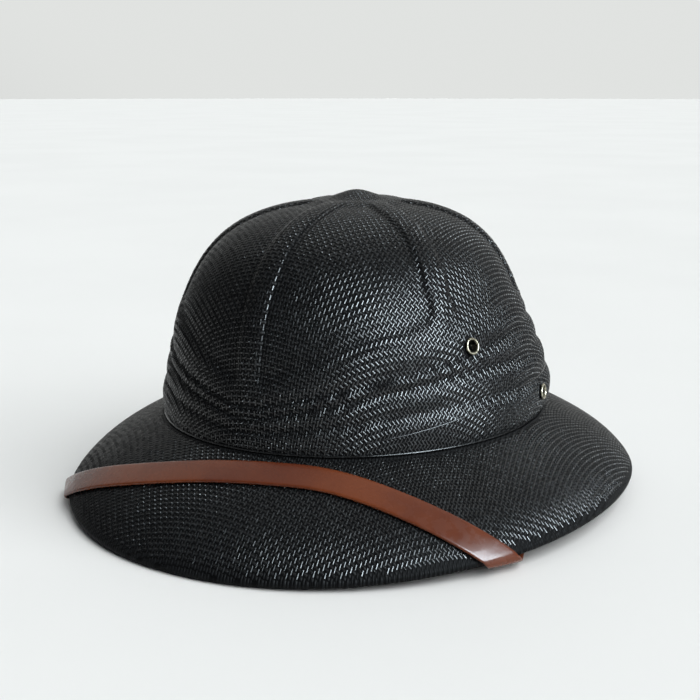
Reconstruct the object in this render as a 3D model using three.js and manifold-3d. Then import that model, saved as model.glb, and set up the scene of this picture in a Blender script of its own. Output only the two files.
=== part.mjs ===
// Pith helmet of woven paper straw: a domed crown with six raised ribs and four pressed pleats,
// a drooping oval brim with a turned edge, four brass eyelets and a leather chin strap laid over
// the front of the brim.
//
// Millimetres, +Z up. The front faces -Y and the wearer's left is +X. The origin lies on the floor
// under the middle of the hat's length and width. A bearing is the angle in degrees round the crown
// from the front, towards the wearer's left.

import * as THREE from 'three';
import { mergeVertices } from 'three/addons/utils/BufferGeometryUtils.js';
import Module from 'manifold-3d';

// Brim
const brimHalfWidth = 139.7;
const brimFrontReach = 155;
const brimBackReach = 162;
const brimFullness = 2.04;
const sideLift = 7.5;
const footHeight = 41.5;
const footSlope = 26;
const rimSlope = 55;
const footHandleShare = 0.38;
const rimHandleShare = 0.31;
const rimRadius = 2.2;
const hemDepth = 9;
const neckHeight = 3;
const neckWall = 1.9;
const neckClearance = 0.7;

// Crown
const crownHalfWidth = 94.3;
const crownHalfLength = 103.7;
const domeHeight = 146;
const strawWall = 2;
const buttonRise = 3.6;
const buttonRadius = 18;
const ribHalfWidth = 4;
const ribFlank = 1.5;
const ribCrest = 0.3;
const panelDepth = 1.4;
const panelCorner = 5;
const bandHeight = 55.5;
const pleatDepthFront = 1.2;
const pleatDepthBack = 2.1;
const pleatDipPower = 1.5;
const pleatDipBluntness = 2;

// Eyelets
const eyeletRadius = 4;
const eyeletShoulder = 0.2;
const eyeletHole = 2.8;
const eyeletBarrel = 3.2;
const eyeletBackRadius = 4.2;
const eyeletRoll = 0.9;
const eyeletSeat = 0.9;

// Chin strap and the studs that hold its ends under the brim
const strapWidth = 13.5;
const strapThickness = 1.5;
const strapMiddleOut = 11;
const strapStandOff = 1.6;
const strapPadOut = 10;
const strapPadLength = 18;
const strapPadSeat = 0.8;
const studRadius = 1.6;
const studHeadRadius = 3.6;
const studHeadThickness = 1.2;
const studRimShare = 0.8;

// Clearance between neighbouring pieces
const gap = 0.3;

// Bearings of the strap's middle and of the two places where it crosses the rim. Between them its
// distance from the crown and its height over the brim grow by powers of the way, and from a share
// of the way it leans from square towards the line of the rim
const strapTurn = 14;
const strapTurnLeft = 53.2;
const strapTurnRight = -43.8;
const strapSweepPower = 2.2;
const strapLiftPower = 4;
const strapLeanStart = 0.45;

// Where the strap has stations between its fold and its pad, and along the pad, as shares of each
const strapRunShares = [0.35, 0.7];
const strapPadShares = [-0.5, 0, 0.5];

// Bearing of the pads under the brim, and how far the strap folds round the rim, in degrees
const padTurn = 90;
const foldTurn = 150;

// Bearings of the raised ribs
const ribBearings = [0, 57, 119, 180, 241, 303];

// Side view of the crown, as shares of the foot's radius at the front and at the back, and of the
// rise from foot to dome top
const crownProfile = [
  { front: 1, back: 1.015, rise: 0 },
  { front: 1, back: 1.046, rise: 0.05 },
  { front: 0.99, back: 1.055, rise: 0.14 },
  { front: 0.962, back: 1, rise: 0.28 },
  { front: 0.94, back: 0.92, rise: 0.42 },
  { front: 0.908, back: 0.845, rise: 0.54 },
  { front: 0.852, back: 0.79, rise: 0.655 },
  { front: 0.78, back: 0.73, rise: 0.755 },
  { front: 0.688, back: 0.652, rise: 0.84 },
  { front: 0.567, back: 0.547, rise: 0.91 },
  { front: 0.41, back: 0.4, rise: 0.962 },
  { front: 0.222, back: 0.218, rise: 0.99 },
  { front: 0, back: 0, rise: 1 },
];

// Top line of each pleat, as shares of the pleated band's height at the sides and at the front,
// with the bearing where its dip towards the front ends
const pleatLines = [
  { side: 1, front: 0.405, dipEnd: 65 },
  { side: 0.829, front: 0.333, dipEnd: 100 },
  { side: 0.595, front: 0.243, dipEnd: 70 },
  { side: 0.36, front: 0.135, dipEnd: 70 },
  { side: 0, front: 0, dipEnd: 70 },
];

// Section of one pleat from its top line down: share of its height, and of the pleats' depth
const pleatSection = [
  { down: 0, depth: 1 },
  { down: 0.1, depth: 0.35 },
  { down: 0.25, depth: 0 },
  { down: 0.7, depth: 0.3 },
];

// Where the eyelets sit: bearing, and height above the crown's foot
const eyelets = [
  { name: 'upper', bearing: 65.4, height: 43.7 },
  { name: 'lower', bearing: 99.5, height: 12.4 },
];

const sideNames = [
  { name: 'left', sign: 1 },
  { name: 'right', sign: -1 },
];

// Rings of points on the button, as shares of its radius, in the panels' corners, as shares of
// their radius, and inside the dome, as shares of the way up from those corners
const buttonRings = [0.3, 0.6, 0.9];
const innerButtonRings = [0.9, 0.4];
const cornerRings = [0.5, 0.25, 0];
const innerDomeRings = [0, 0.3, 0.6, 0.85];

// Inside the lowest pleat, and where a pleat's inner ring lies in its depth, as shares
const innerPleatRing = 0.55;
const innerPleatDepth = 0.5;

// Rings of points under the brim, as shares of its section
const underRings = [0.6, 0.4, 0.2, 0];

const panelColumns = 7;
const domeRings = 7;
const brimRings = 6;
const rimRings = 3;
const strapSteps = 22;
const foldSteps = 7;
const roundSides = 14;
const widestRibTurn = 18;
const middleY = (brimFrontReach - brimBackReach) / 2;
const crownRise = domeHeight - footHeight;
const up = new THREE.Vector3(0, 0, 1);

const wasm = await Module();
wasm.setup();

// Horizontal unit vector at a bearing
function outwards(bearing) {
  const turn = THREE.MathUtils.degToRad(bearing);
  return new THREE.Vector3(Math.sin(turn), -Math.cos(turn), 0);
}

// Radius of an oval in plan at a bearing
function ovalRadius(bearing, halfWidth, halfLength, fullness) {
  const direction = outwards(bearing);
  const across = Math.abs(direction.x / halfWidth) ** fullness;
  const along = Math.abs(direction.y / halfLength) ** fullness;
  return (across + along) ** (-1 / fullness);
}

function footRadius(bearing) {
  return ovalRadius(bearing, crownHalfWidth, crownHalfLength, 2);
}

function rimReach(bearing) {
  const atFront = outwards(bearing).y < 0;
  return ovalRadius(bearing, brimHalfWidth, atFront ? brimFrontReach : brimBackReach, brimFullness);
}

// Point in space from a bearing, a radius in plan and a height
function place(bearing, radius, height) {
  return outwards(bearing).multiplyScalar(radius).add(new THREE.Vector3(0, middleY, height));
}

// Lowest height of the brim's edge: on the floor at front and back, lifted at the sides
function rimHeight(bearing) {
  return sideLift * outwards(bearing).x ** 2;
}

// Share of 0 to 1 where a rising function reaches a value
function solveShare(valueAt, target) {
  let low = 0;
  let high = 1;
  for (let step = 0; step < 30; step += 1) {
    const middle = (low + high) / 2;
    if (valueAt(middle) < target) low = middle;
    else high = middle;
  }
  return (low + high) / 2;
}

// Solid of manifold-3d from a closed three.js geometry
function solidOf(geometry) {
  const bare = geometry.clone();
  bare.deleteAttribute('normal');
  bare.deleteAttribute('uv');
  const merged = mergeVertices(bare, 1e-4);
  return new wasm.Manifold(new wasm.Mesh({
    numProp: 3,
    vertProperties: Float32Array.from(merged.attributes.position.array),
    triVerts: Uint32Array.from(merged.index.array),
  }));
}

function geometryOf(solid) {
  const mesh = solid.getMesh();
  const geometry = new THREE.BufferGeometry();
  geometry.setAttribute('position', new THREE.BufferAttribute(mesh.vertProperties, 3));
  geometry.setIndex(new THREE.BufferAttribute(mesh.triVerts, 1));
  geometry.computeVertexNormals();
  return geometry;
}

function geometryFrom(points, triangles) {
  const geometry = new THREE.BufferGeometry().setFromPoints(points);
  geometry.setIndex(triangles);
  geometry.computeVertexNormals();
  return geometry;
}

// Triangles between ring a and ring b, each with count points, b following a down the outside
function bridge(triangles, a, b, count) {
  for (let j = 0; j < count; j += 1) {
    const next = (j + 1) % count;
    triangles.push(a + j, b + j, b + next, a + j, b + next, a + next);
  }
}

// Closed skin from one pole, over rings, to another pole
function skinBetweenPoles(firstPole, rings, lastPole) {
  const count = rings[0].length;
  const points = [firstPole, ...rings.flat(), lastPole];
  const triangles = [];
  const last = 1 + (rings.length - 1) * count;
  for (let j = 0; j < count; j += 1) {
    const next = (j + 1) % count;
    triangles.push(0, 1 + j, 1 + next);
    triangles.push(points.length - 1, last + next, last + j);
  }
  for (let first = 1; first < last; first += count) bridge(triangles, first, first + count, count);
  return geometryFrom(points, triangles);
}

// Closed skin over rings whose last one meets the first
function skinRound(rings) {
  const count = rings[0].length;
  const triangles = [];
  rings.forEach((_, index) => {
    bridge(triangles, index * count, ((index + 1) % rings.length) * count, count);
  });
  return geometryFrom(rings.flat(), triangles);
}

// Crown

// Side view with the front's reach as x, the back's as y and the rise as z
const crownCurve = new THREE.CatmullRomCurve3(
  crownProfile.map((row) => new THREE.Vector3(row.front, row.back, row.rise)),
  false,
  'catmullrom',
);

// Share of 0 at the front and 1 at the back
function backness(bearing) {
  return (1 + outwards(bearing).y) / 2;
}

// Share along the crown's side view at a height above the foot
function crownShare(height) {
  return solveShare((share) => crownCurve.getPoint(share).z, height / crownRise);
}

// Share along the crown's side view at a radius in the dome
function domeShare(radius) {
  return solveShare((share) => 1 - crownCurve.getPoint(share).x, 1 - radius / crownHalfWidth);
}

// Point on the crown's outermost surface, before ribs and pleats
function crownPoint(bearing, share) {
  const { x: front, y: back, z: rise } = crownCurve.getPoint(share);
  const reach = THREE.MathUtils.lerp(front, back, backness(bearing));
  return place(bearing, footRadius(bearing) * reach, footHeight + gap + crownRise * rise);
}

function crownNormal(bearing, share) {
  const low = Math.max(share - 0.01, 0);
  const high = Math.min(share + 0.01, 0.995);
  const along = crownPoint(bearing, high).sub(crownPoint(bearing, low));
  const round = crownPoint(bearing + 1, share).sub(crownPoint(bearing - 1, share));
  return round.cross(along).normalize();
}

// Rise of the button at the top of the dome
function buttonAt(point) {
  const out = Math.hypot(point.x, point.y - middleY) / buttonRadius;
  return out < 1 ? buttonRise * (0.5 + 0.5 * Math.cos(Math.PI * out)) : 0;
}

// Point on the crown at a depth below its outermost surface
function crownAt(bearing, share, depth) {
  const point = crownPoint(bearing, share);
  point.z += buttonAt(point);
  return point.addScaledVector(crownNormal(bearing, share), -depth);
}

// Height of a pleat's top line above the foot
function lineHeight(line, bearing) {
  const turned = Math.abs(THREE.MathUtils.euclideanModulo(bearing + 180, 360) - 180);
  const dip = Math.max(0, 1 - Math.hypot(turned, pleatDipBluntness) / line.dipEnd) ** pleatDipPower;
  return bandHeight * (line.side - (line.side - line.front) * dip);
}

// Columns of points round the crown: five on each rib, and the panel's between
const columns = ribBearings.flatMap((bearing, index) => {
  const nextBearing = ribBearings[index + 1] ?? 360;
  const onRib = [-2, -1, 0, 1, 2].map((edge) => ({ bearing, edge }));
  const onPanel = Array.from({ length: panelColumns }, (_, step) => (
    { bearing, nextBearing, across: (step + 1) / (panelColumns + 1) }
  ));
  return [...onRib, ...onPanel];
});

// Bearing of a column where the rib has a half width in degrees
function columnBearing(column, half, flank) {
  if (column.edge !== undefined) {
    const reach = Math.min(Math.abs(column.edge), 1) * half + (Math.abs(column.edge) === 2 ? flank : 0);
    return column.bearing + Math.sign(column.edge) * reach;
  }
  const start = column.bearing + half + flank;
  const end = column.nextBearing - half - flank;
  return THREE.MathUtils.lerp(start, end, column.across);
}

// Bearing of a column at a share of the side view, with the rib widened by a flare at its foot
function bearingOn(column, share, flare) {
  const radius = Math.max(crownCurve.getPoint(share).x * crownHalfWidth, 1);
  const half = Math.min(THREE.MathUtils.radToDeg((ribHalfWidth + flare) / radius), widestRibTurn);
  const flank = Math.min(THREE.MathUtils.radToDeg(ribFlank / radius), widestRibTurn / 3);
  return columnBearing(column, half, flank);
}

// Depth of the ribs and panels at a column, as sunk is 0 at their ends and 1 between
function panelAt(column, sunk) {
  if (column.edge === 0) return -ribCrest * sunk;
  return Math.abs(column.edge) === 1 ? 0 : panelDepth * sunk;
}

// A ring in the dome, at a height above the band's top line
function domeRing(above, depth) {
  const near = Math.max(0, 1 - above / panelCorner);
  const flare = panelCorner * (1 - Math.sqrt(1 - near * near));
  return columns.map((column) => {
    const topShare = crownShare(bandHeight);
    const bearing = bearingOn(column, topShare, flare);
    const share = crownShare(lineHeight(pleatLines[0], bearing) + above);
    return crownAt(bearing, share, depth + panelAt(column, above > 0 ? 1 : 0));
  });
}

// A ring between the panels' corners and the button, as a share of that way
function upperRing(way, depth) {
  const buttonShare = domeShare(buttonRadius);
  return columns.map((column) => {
    const foot = bearingOn(column, crownShare(bandHeight), 0);
    const start = crownShare(lineHeight(pleatLines[0], foot) + panelCorner);
    const share = THREE.MathUtils.lerp(start, buttonShare, way);
    return crownAt(bearingOn(column, share, 0), share, depth + panelAt(column, 1));
  });
}

// A ring on the button, at a share of its radius
function buttonRing(out, depth) {
  const share = domeShare(out * buttonRadius);
  return columns.map((column) => crownAt(bearingOn(column, share, 0), share, depth));
}

// A ring in the pleated band, at a share of the way down pleat index: it lies at a depth, and
// further in by a share of the pleats' depth
function pleatRing(index, down, depth, pressed) {
  return columns.map((column) => {
    const bearing = bearingOn(column, crownShare(bandHeight), panelCorner);
    const top = lineHeight(pleatLines[index], bearing);
    const bottom = lineHeight(pleatLines[index + 1], bearing);
    const pleat = THREE.MathUtils.lerp(pleatDepthFront, pleatDepthBack, backness(bearing));
    return crownAt(bearing, crownShare(THREE.MathUtils.lerp(top, bottom, down)), depth + pressed * pleat);
  });
}

function crownPole(depth) {
  const pole = place(0, 0, domeHeight + gap + buttonRise);
  return pole.addScaledVector(up, -depth);
}

function outerCrownRings() {
  const rings = buttonRings.map((out) => buttonRing(out, 0));
  for (let step = 1; step <= domeRings; step += 1) rings.push(upperRing(1 - step / domeRings, 0));
  for (const above of cornerRings) rings.push(domeRing(above * panelCorner, 0));
  for (let index = 0; index + 1 < pleatLines.length; index += 1) {
    for (const row of pleatSection) {
      const underPanel = index === 0 && row.down < 0.5;
      if (!underPanel) rings.push(pleatRing(index, row.down, 0, row.depth));
      else if (row.down > 0) rings.push(pleatRing(index, row.down, 0, 0));
    }
  }
  rings.push(pleatRing(pleatLines.length - 2, 1, 0, 0));
  return rings;
}

function innerCrownRings() {
  const lowest = pleatLines.length - 2;
  const rings = [pleatRing(lowest, 1, strawWall, 0), pleatRing(lowest, innerPleatRing, strawWall, 0)];
  for (let index = lowest; index >= 0; index -= 1) rings.push(pleatRing(index, 0, strawWall, innerPleatDepth));
  rings.push(domeRing(panelCorner / 2, strawWall));
  for (const way of innerDomeRings) rings.push(upperRing(way, strawWall));
  for (const out of innerButtonRings) rings.push(buttonRing(out, strawWall));
  return rings;
}

// Frame on the crown's outermost surface, with its z axis along the outward normal
function crownSeat(bearing, height) {
  const share = crownShare(height);
  const seat = new THREE.Matrix4();
  const turn = new THREE.Quaternion().setFromUnitVectors(up, crownNormal(bearing, share));
  return seat.compose(crownPoint(bearing, share), turn, new THREE.Vector3(1, 1, 1));
}

function eyeletSeats() {
  return sideNames.flatMap((side) => eyelets.map((row) => (
    { name: `eyelet_${row.name}_${side.name}`, seat: crownSeat(side.sign * row.bearing, row.height) }
  )));
}

// Straight round bar along the z axis of a seat, centred on it
function drill(radius, length, seat) {
  const bar = new THREE.CylinderGeometry(radius, radius, length, roundSides);
  bar.rotateX(Math.PI / 2);
  return solidOf(bar.applyMatrix4(seat));
}

function crownGeometry() {
  const rings = [...outerCrownRings(), ...innerCrownRings()];
  let crown = solidOf(skinBetweenPoles(crownPole(0), rings, crownPole(strawWall)));
  const holeRadius = eyeletBarrel + gap;
  const through = 3 * (strawWall + pleatDepthBack);
  for (const { seat } of eyeletSeats()) crown = crown.subtract(drill(holeRadius, through, seat));
  return geometryOf(crown);
}

// Brim

// Side view of the brim's upper surface at a bearing, from the crown's foot to the turned edge
function brimCurve(bearing) {
  const fall = THREE.MathUtils.degToRad(footSlope);
  const steep = THREE.MathUtils.degToRad(rimSlope);
  const start = new THREE.Vector2(footRadius(bearing), footHeight);
  const end = new THREE.Vector2(rimReach(bearing) - rimRadius, rimHeight(bearing) + rimRadius);
  end.add(new THREE.Vector2(Math.sin(steep), Math.cos(steep)).multiplyScalar(rimRadius));
  const chord = start.distanceTo(end);
  const leave = new THREE.Vector2(Math.cos(fall), -Math.sin(fall)).multiplyScalar(footHandleShare * chord);
  const arrive = new THREE.Vector2(-Math.cos(steep), Math.sin(steep)).multiplyScalar(rimHandleShare * chord);
  return new THREE.CubicBezierCurve(start, leave.add(start), arrive.add(end), end);
}

// Point of the brim at a share from foot to edge, at a depth below its upper surface
function brimPoint(bearing, share, depth) {
  const curve = brimCurve(bearing);
  const along = curve.getTangent(share);
  const point = curve.getPoint(share).add(new THREE.Vector2(along.y, -along.x).multiplyScalar(depth));
  return place(bearing, point.x, point.y);
}

function brimNormal(bearing, share) {
  const round = brimPoint(bearing + 1, share, 0).sub(brimPoint(bearing - 1, share, 0));
  const inwards = brimPoint(bearing, share - 0.02, 0).sub(brimPoint(bearing, share, 0));
  return round.cross(inwards).normalize();
}

// Centre of the turned edge's round at a bearing
function rimCentre(bearing) {
  return place(bearing, rimReach(bearing) - rimRadius, rimHeight(bearing) + rimRadius);
}

function brimGeometry() {
  const bearings = Array.from({ length: columns.length }, (_, step) => (360 * step) / columns.length);
  const around = (pointAt) => bearings.map(pointAt);
  const neckOut = strawWall + neckClearance;
  const neckIn = neckOut + neckWall;
  const neckTop = footHeight + gap + neckHeight;
  const rings = [
    around((bearing) => place(bearing, footRadius(bearing) - neckIn, neckTop)),
    around((bearing) => place(bearing, footRadius(bearing) - neckOut, neckTop)),
    around((bearing) => place(bearing, footRadius(bearing) - neckOut, footHeight)),
  ];
  for (let step = 0; step <= brimRings; step += 1) {
    rings.push(around((bearing) => brimPoint(bearing, step / brimRings, 0)));
  }
  for (let step = 1; step <= rimRings; step += 1) {
    const angle = THREE.MathUtils.degToRad(THREE.MathUtils.lerp(rimSlope, 180, step / rimRings));
    rings.push(around((bearing) => {
      const reach = rimReach(bearing) - rimRadius + rimRadius * Math.sin(angle);
      return place(bearing, reach, rimHeight(bearing) + rimRadius + rimRadius * Math.cos(angle));
    }));
  }
  const hemShare = (bearing, depth) => 1 - depth / brimCurve(bearing).getLength();
  const hemEnd = hemDepth + rimRadius;
  rings.push(around((bearing) => brimPoint(bearing, 1, 2 * rimRadius)));
  rings.push(around((bearing) => brimPoint(bearing, hemShare(bearing, hemDepth), 2 * rimRadius)));
  rings.push(around((bearing) => brimPoint(bearing, hemShare(bearing, hemEnd), strawWall)));
  for (const share of underRings) rings.push(around((bearing) => brimPoint(bearing, share, strawWall)));
  rings.push(around((bearing) => place(bearing, footRadius(bearing) - neckIn, footHeight - strawWall / 2)));
  return skinRound(rings);
}

// Chin strap

// Bearing of the strap's middle line at a way of -1 to 1 between its two crossings of the rim
function strapBearing(way) {
  const crossing = way < 0 ? strapTurnRight : strapTurnLeft;
  return THREE.MathUtils.lerp(strapTurn, crossing, Math.abs(way));
}

// Middle line of the strap on the brim: closest to the crown at its middle, off the edge at its ends
function strapOnBrim(way) {
  const bearing = strapBearing(way);
  const reach = (share) => brimCurve(strapTurn).getPoint(share).x;
  const middle = solveShare(reach, footRadius(strapTurn) + strapMiddleOut);
  const share = middle + (1 - middle) * Math.abs(way) ** strapSweepPower;
  const normal = brimNormal(bearing, share);
  const low = gap + strapThickness / 2;
  const lift = THREE.MathUtils.lerp(low, strapStandOff, Math.abs(way) ** strapLiftPower);
  return { middle: brimPoint(bearing, share, 0).addScaledVector(normal, lift), normal };
}

// Direction of the rim at the place where the strap crosses it, turned as the strap's width is
function rimTangent(side) {
  const bearing = strapBearing(side);
  return rimCentre(bearing + 1).sub(rimCentre(bearing - 1)).normalize().multiplyScalar(-1);
}

// A straight line across the strap: it leans by the skewed direction and keeps the strap's width
function station(middle, normal, along, skewed) {
  const square = new THREE.Vector3().crossVectors(normal, along).normalize();
  const line = skewed.clone().addScaledVector(normal, -skewed.dot(normal)).normalize();
  if (line.dot(square) < 0) line.negate();
  return { middle, normal, line: line.multiplyScalar(strapWidth / 2 / line.dot(square)) };
}

// Stations over the brim, square to the strap at its middle and in line with the rim at its ends
function topStations() {
  return Array.from({ length: strapSteps + 1 }, (_, step) => {
    const way = (2 * step) / strapSteps - 1;
    const { middle, normal } = strapOnBrim(way);
    const along = strapOnBrim(way + 0.01).middle.sub(strapOnBrim(way - 0.01).middle).normalize();
    const square = new THREE.Vector3().crossVectors(normal, along).normalize();
    const lean = THREE.MathUtils.smoothstep(Math.abs(way), strapLeanStart, 1);
    const rim = rimTangent(Math.sign(way) || 1);
    if (rim.dot(square) < 0) rim.negate();
    return station(middle, normal, along, square.lerp(rim, lean));
  });
}

// Place under the brim where the strap's end lies flat, at a distance along the strap
function padPlace(side, along) {
  const bearing = side * padTurn;
  const reach = (share) => brimCurve(bearing).getPoint(share).x;
  const share = solveShare(reach, footRadius(bearing) + strapPadOut);
  const normal = brimNormal(bearing, share).negate();
  const low = strawWall + strapPadSeat + strapThickness / 2;
  const point = brimPoint(bearing, share, 0).addScaledVector(normal, low);
  return { point: point.add(new THREE.Vector3(0, along, 0)), normal };
}

// Stations round the rim and under the brim to the strap's end, from the rim outwards
function endStations(side) {
  const bearing = strapBearing(side);
  const centre = rimCentre(bearing);
  const tangent = rimTangent(side);
  const start = topStations().at(side > 0 ? -1 : 0);
  const outside = new THREE.Vector3().crossVectors(tangent, up).normalize();
  if (outside.dot(outwards(bearing)) < 0) outside.negate();
  const radius = rimRadius + strapStandOff;
  const before = strapOnBrim(side * 0.99).middle;
  const along = start.middle.clone().sub(before).normalize();
  const drift = along.dot(tangent) / Math.sqrt(1 - along.dot(tangent) ** 2);
  const stations = [];
  for (let step = 1; step <= foldSteps; step += 1) {
    const turned = (foldTurn * step) / foldSteps;
    const angle = THREE.MathUtils.degToRad(rimSlope + turned);
    const normal = outside.clone().multiplyScalar(Math.sin(angle)).addScaledVector(up, Math.cos(angle));
    const travel = outside.clone().multiplyScalar(Math.cos(angle)).addScaledVector(up, -Math.sin(angle));
    travel.addScaledVector(tangent, drift).normalize();
    const slide = drift * radius * THREE.MathUtils.degToRad(turned);
    const middle = centre.clone().addScaledVector(normal, radius).addScaledVector(tangent, slide);
    stations.push(station(middle, normal, travel, tangent));
  }
  const last = stations.at(-1);
  const pad = padPlace(side, -strapPadLength / 2);
  const run = pad.point.clone().sub(last.middle).normalize();
  const padLine = new THREE.Vector3().crossVectors(pad.normal, new THREE.Vector3(0, 1, 0)).normalize();
  if (padLine.dot(last.line) < 0) padLine.negate();
  for (const way of strapRunShares) {
    const middle = last.middle.clone().lerp(pad.point, way);
    const normal = last.normal.clone().lerp(pad.normal, way).normalize();
    stations.push(station(middle, normal, run, last.line.clone().normalize().lerp(padLine, way)));
  }
  for (const share of strapPadShares) {
    const { point, normal } = padPlace(side, share * strapPadLength);
    stations.push(station(point, normal, new THREE.Vector3(0, 1, 0), padLine));
  }
  return stations;
}

// Closed band of rectangular section through stations
function bandGeometry(stations) {
  const points = stations.flatMap(({ middle, normal, line }) => {
    const half = strapThickness / 2;
    return [[1, 1], [-1, 1], [-1, -1], [1, -1]].map(([across, outer]) => (
      middle.clone().addScaledVector(line, across).addScaledVector(normal, outer * half)
    ));
  });
  const triangles = [];
  for (let i = 0; i + 1 < stations.length; i += 1) bridge(triangles, 4 * (i + 1), 4 * i, 4);
  const end = points.length - 4;
  triangles.push(0, 3, 2, 0, 2, 1, end, end + 1, end + 2, end, end + 2, end + 3);
  return geometryFrom(points, triangles);
}

function studSeat(side) {
  const { point, normal } = padPlace(side, 0);
  const turn = new THREE.Quaternion().setFromUnitVectors(up, normal);
  return new THREE.Matrix4().compose(point, turn, new THREE.Vector3(1, 1, 1));
}

function strapGeometry() {
  const stations = [...endStations(-1).reverse(), ...topStations(), ...endStations(1)];
  for (let i = 1; i < stations.length; i += 1) {
    const along = stations[i].middle.clone().sub(stations[i - 1].middle);
    const square = new THREE.Vector3().crossVectors(stations[i].normal, along);
    if (stations[i].line.dot(square) < 0) stations[i].line.negate();
    if (i === 1 && stations[0].line.dot(square) < 0) stations[0].line.negate();
  }
  let strap = solidOf(bandGeometry(stations));
  const through = 4 * strapThickness;
  for (const { sign } of sideNames) strap = strap.subtract(drill(studRadius + gap, through, studSeat(sign)));
  return geometryOf(strap);
}

// Turned pieces

// Ring or pin turned about the z axis of a seat from its half section, given as radius and height
function turned(section, seat) {
  const profile = section.map(([radius, height]) => new THREE.Vector2(radius, height));
  const body = new THREE.LatheGeometry(profile, roundSides);
  body.rotateX(Math.PI / 2);
  return geometryOf(solidOf(body.applyMatrix4(seat)));
}

function eyeletGeometry(seat) {
  const back = -(strawWall + pleatDepthBack / 2 + eyeletSeat);
  const front = gap;
  return turned([
    [eyeletHole, back - eyeletRoll],
    [eyeletBackRadius, back - eyeletRoll / 2],
    [eyeletBackRadius, back],
    [eyeletBarrel, back],
    [eyeletBarrel, front],
    [eyeletRadius, front],
    [eyeletRadius - eyeletShoulder, front + eyeletRoll / 2],
    [(eyeletRadius + eyeletHole) / 2, front + eyeletRoll],
    [eyeletHole, front + eyeletRoll / 2],
    [eyeletHole, back - eyeletRoll],
  ], seat);
}

function studGeometry(seat) {
  const top = -(strapThickness / 2) - strapPadSeat + gap;
  const head = strapThickness / 2 + gap;
  return turned([
    [0, top],
    [studRadius, top],
    [studRadius, head],
    [studHeadRadius, head],
    [studHeadRadius * studRimShare, head + studHeadThickness * studRimShare],
    [0, head + studHeadThickness],
  ], seat);
}

// Materials and the assembled hat

const straw = { color: 0x1d1e20, roughness: 0.55, metalness: 0 };
const leather = { color: 0x6b3a26, roughness: 0.35, metalness: 0 };
const brass = { color: 0xa08a5a, roughness: 0.4, metalness: 1 };

function piece(name, geometry, finish) {
  const mesh = new THREE.Mesh(geometry, new THREE.MeshStandardMaterial(finish));
  mesh.name = name;
  return mesh;
}

const helmet = new THREE.Group();
helmet.name = 'pith_helmet';
helmet.add(piece('crown', crownGeometry(), straw));
helmet.add(piece('brim', brimGeometry(), straw));
helmet.add(piece('chin_strap', strapGeometry(), leather));
for (const { name, seat } of eyeletSeats()) helmet.add(piece(name, eyeletGeometry(seat), brass));
for (const side of sideNames) {
  helmet.add(piece(`strap_stud_${side.name}`, studGeometry(studSeat(side.sign)), brass));
}

export default helmet;
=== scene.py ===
"""Woven straw pith helmet: the visible skins, woven strands, strap and trim round its fixed frame."""
import math

import bmesh
import bpy
import numpy as np
from bpy.props import FloatProperty, FloatVectorProperty, IntProperty, PointerProperty
from mathutils import Matrix, Vector


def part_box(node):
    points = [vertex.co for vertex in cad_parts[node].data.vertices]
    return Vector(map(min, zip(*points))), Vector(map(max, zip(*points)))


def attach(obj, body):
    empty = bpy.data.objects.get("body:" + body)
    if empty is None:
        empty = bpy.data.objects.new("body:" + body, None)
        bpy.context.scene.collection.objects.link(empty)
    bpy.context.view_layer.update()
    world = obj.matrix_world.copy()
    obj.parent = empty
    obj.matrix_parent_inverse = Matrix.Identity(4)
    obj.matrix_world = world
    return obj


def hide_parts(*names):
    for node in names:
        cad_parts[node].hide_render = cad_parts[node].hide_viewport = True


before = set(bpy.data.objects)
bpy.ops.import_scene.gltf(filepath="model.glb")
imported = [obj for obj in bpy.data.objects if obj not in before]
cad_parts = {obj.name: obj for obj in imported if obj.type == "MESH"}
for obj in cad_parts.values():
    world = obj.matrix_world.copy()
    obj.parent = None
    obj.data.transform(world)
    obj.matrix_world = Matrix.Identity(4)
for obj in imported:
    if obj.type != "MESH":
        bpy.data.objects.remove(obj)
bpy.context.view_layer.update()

bl_info = {
    "name": "Straw Pith Helmet",
    "version": (1, 0, 0),
    "blender": (4, 5, 0),
    "location": "View3D > Sidebar > Helmet",
    "description": "Builds a woven straw pith helmet with a leather chin strap and brass eyelets",
    "category": "Object",
}

BRIM_HALF_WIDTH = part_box("brim")[1].x
CROWN_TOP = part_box("crown")[1].z

# Bearings of the raised ribs, in degrees from the front towards the wearer's left
RIB_BEARINGS = np.array([0, 57, 119, 180, 241, 303], float)

# Side view of the crown: reach at the front and at the back as shares of the foot's radius, and rise
# as a share of the height from foot to dome top
CROWN_PROFILE = np.array([
    (1, 1.015, 0),
    (1, 1.046, 0.05),
    (0.99, 1.055, 0.14),
    (0.962, 1, 0.28),
    (0.94, 0.92, 0.42),
    (0.908, 0.845, 0.54),
    (0.852, 0.79, 0.655),
    (0.78, 0.73, 0.755),
    (0.688, 0.652, 0.84),
    (0.567, 0.547, 0.91),
    (0.41, 0.4, 0.962),
    (0.222, 0.218, 0.99),
    (0, 0, 1),
])

# Top line of each pleat: share of the band's height at the sides and at the front, and the bearing
# in degrees where its dip towards the front ends
PLEAT_LINES = ((1, 0.405, 65), (0.829, 0.333, 100), (0.595, 0.243, 70), (0.36, 0.135, 70), (0, 0, 70))

# Eyelets: name, bearing in degrees, and height above the crown's foot in metres
EYELETS = (("upper", 65.4, 0.0437), ("lower", 99.5, 0.0124))

SIDES = (("left", 1), ("right", -1))


def length_setting(name, about, default):
    """Setting of a length in metres."""
    return FloatProperty(name=name, description=about, default=default, unit="LENGTH", subtype="DISTANCE")


def angle_setting(name, about, degrees):
    """Setting of an angle, given in degrees and kept in radians."""
    return FloatProperty(name=name, description=about, default=math.radians(degrees), unit="ROTATION",
                         subtype="ANGLE")


def number_setting(name, about, default):
    """Setting of a plain number."""
    return FloatProperty(name=name, description=about, default=default)


def colour_setting(name, about, default):
    """Setting of a colour."""
    return FloatVectorProperty(name=name, description=about, default=default, size=3, subtype="COLOR",
                               min=0, max=1)


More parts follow.
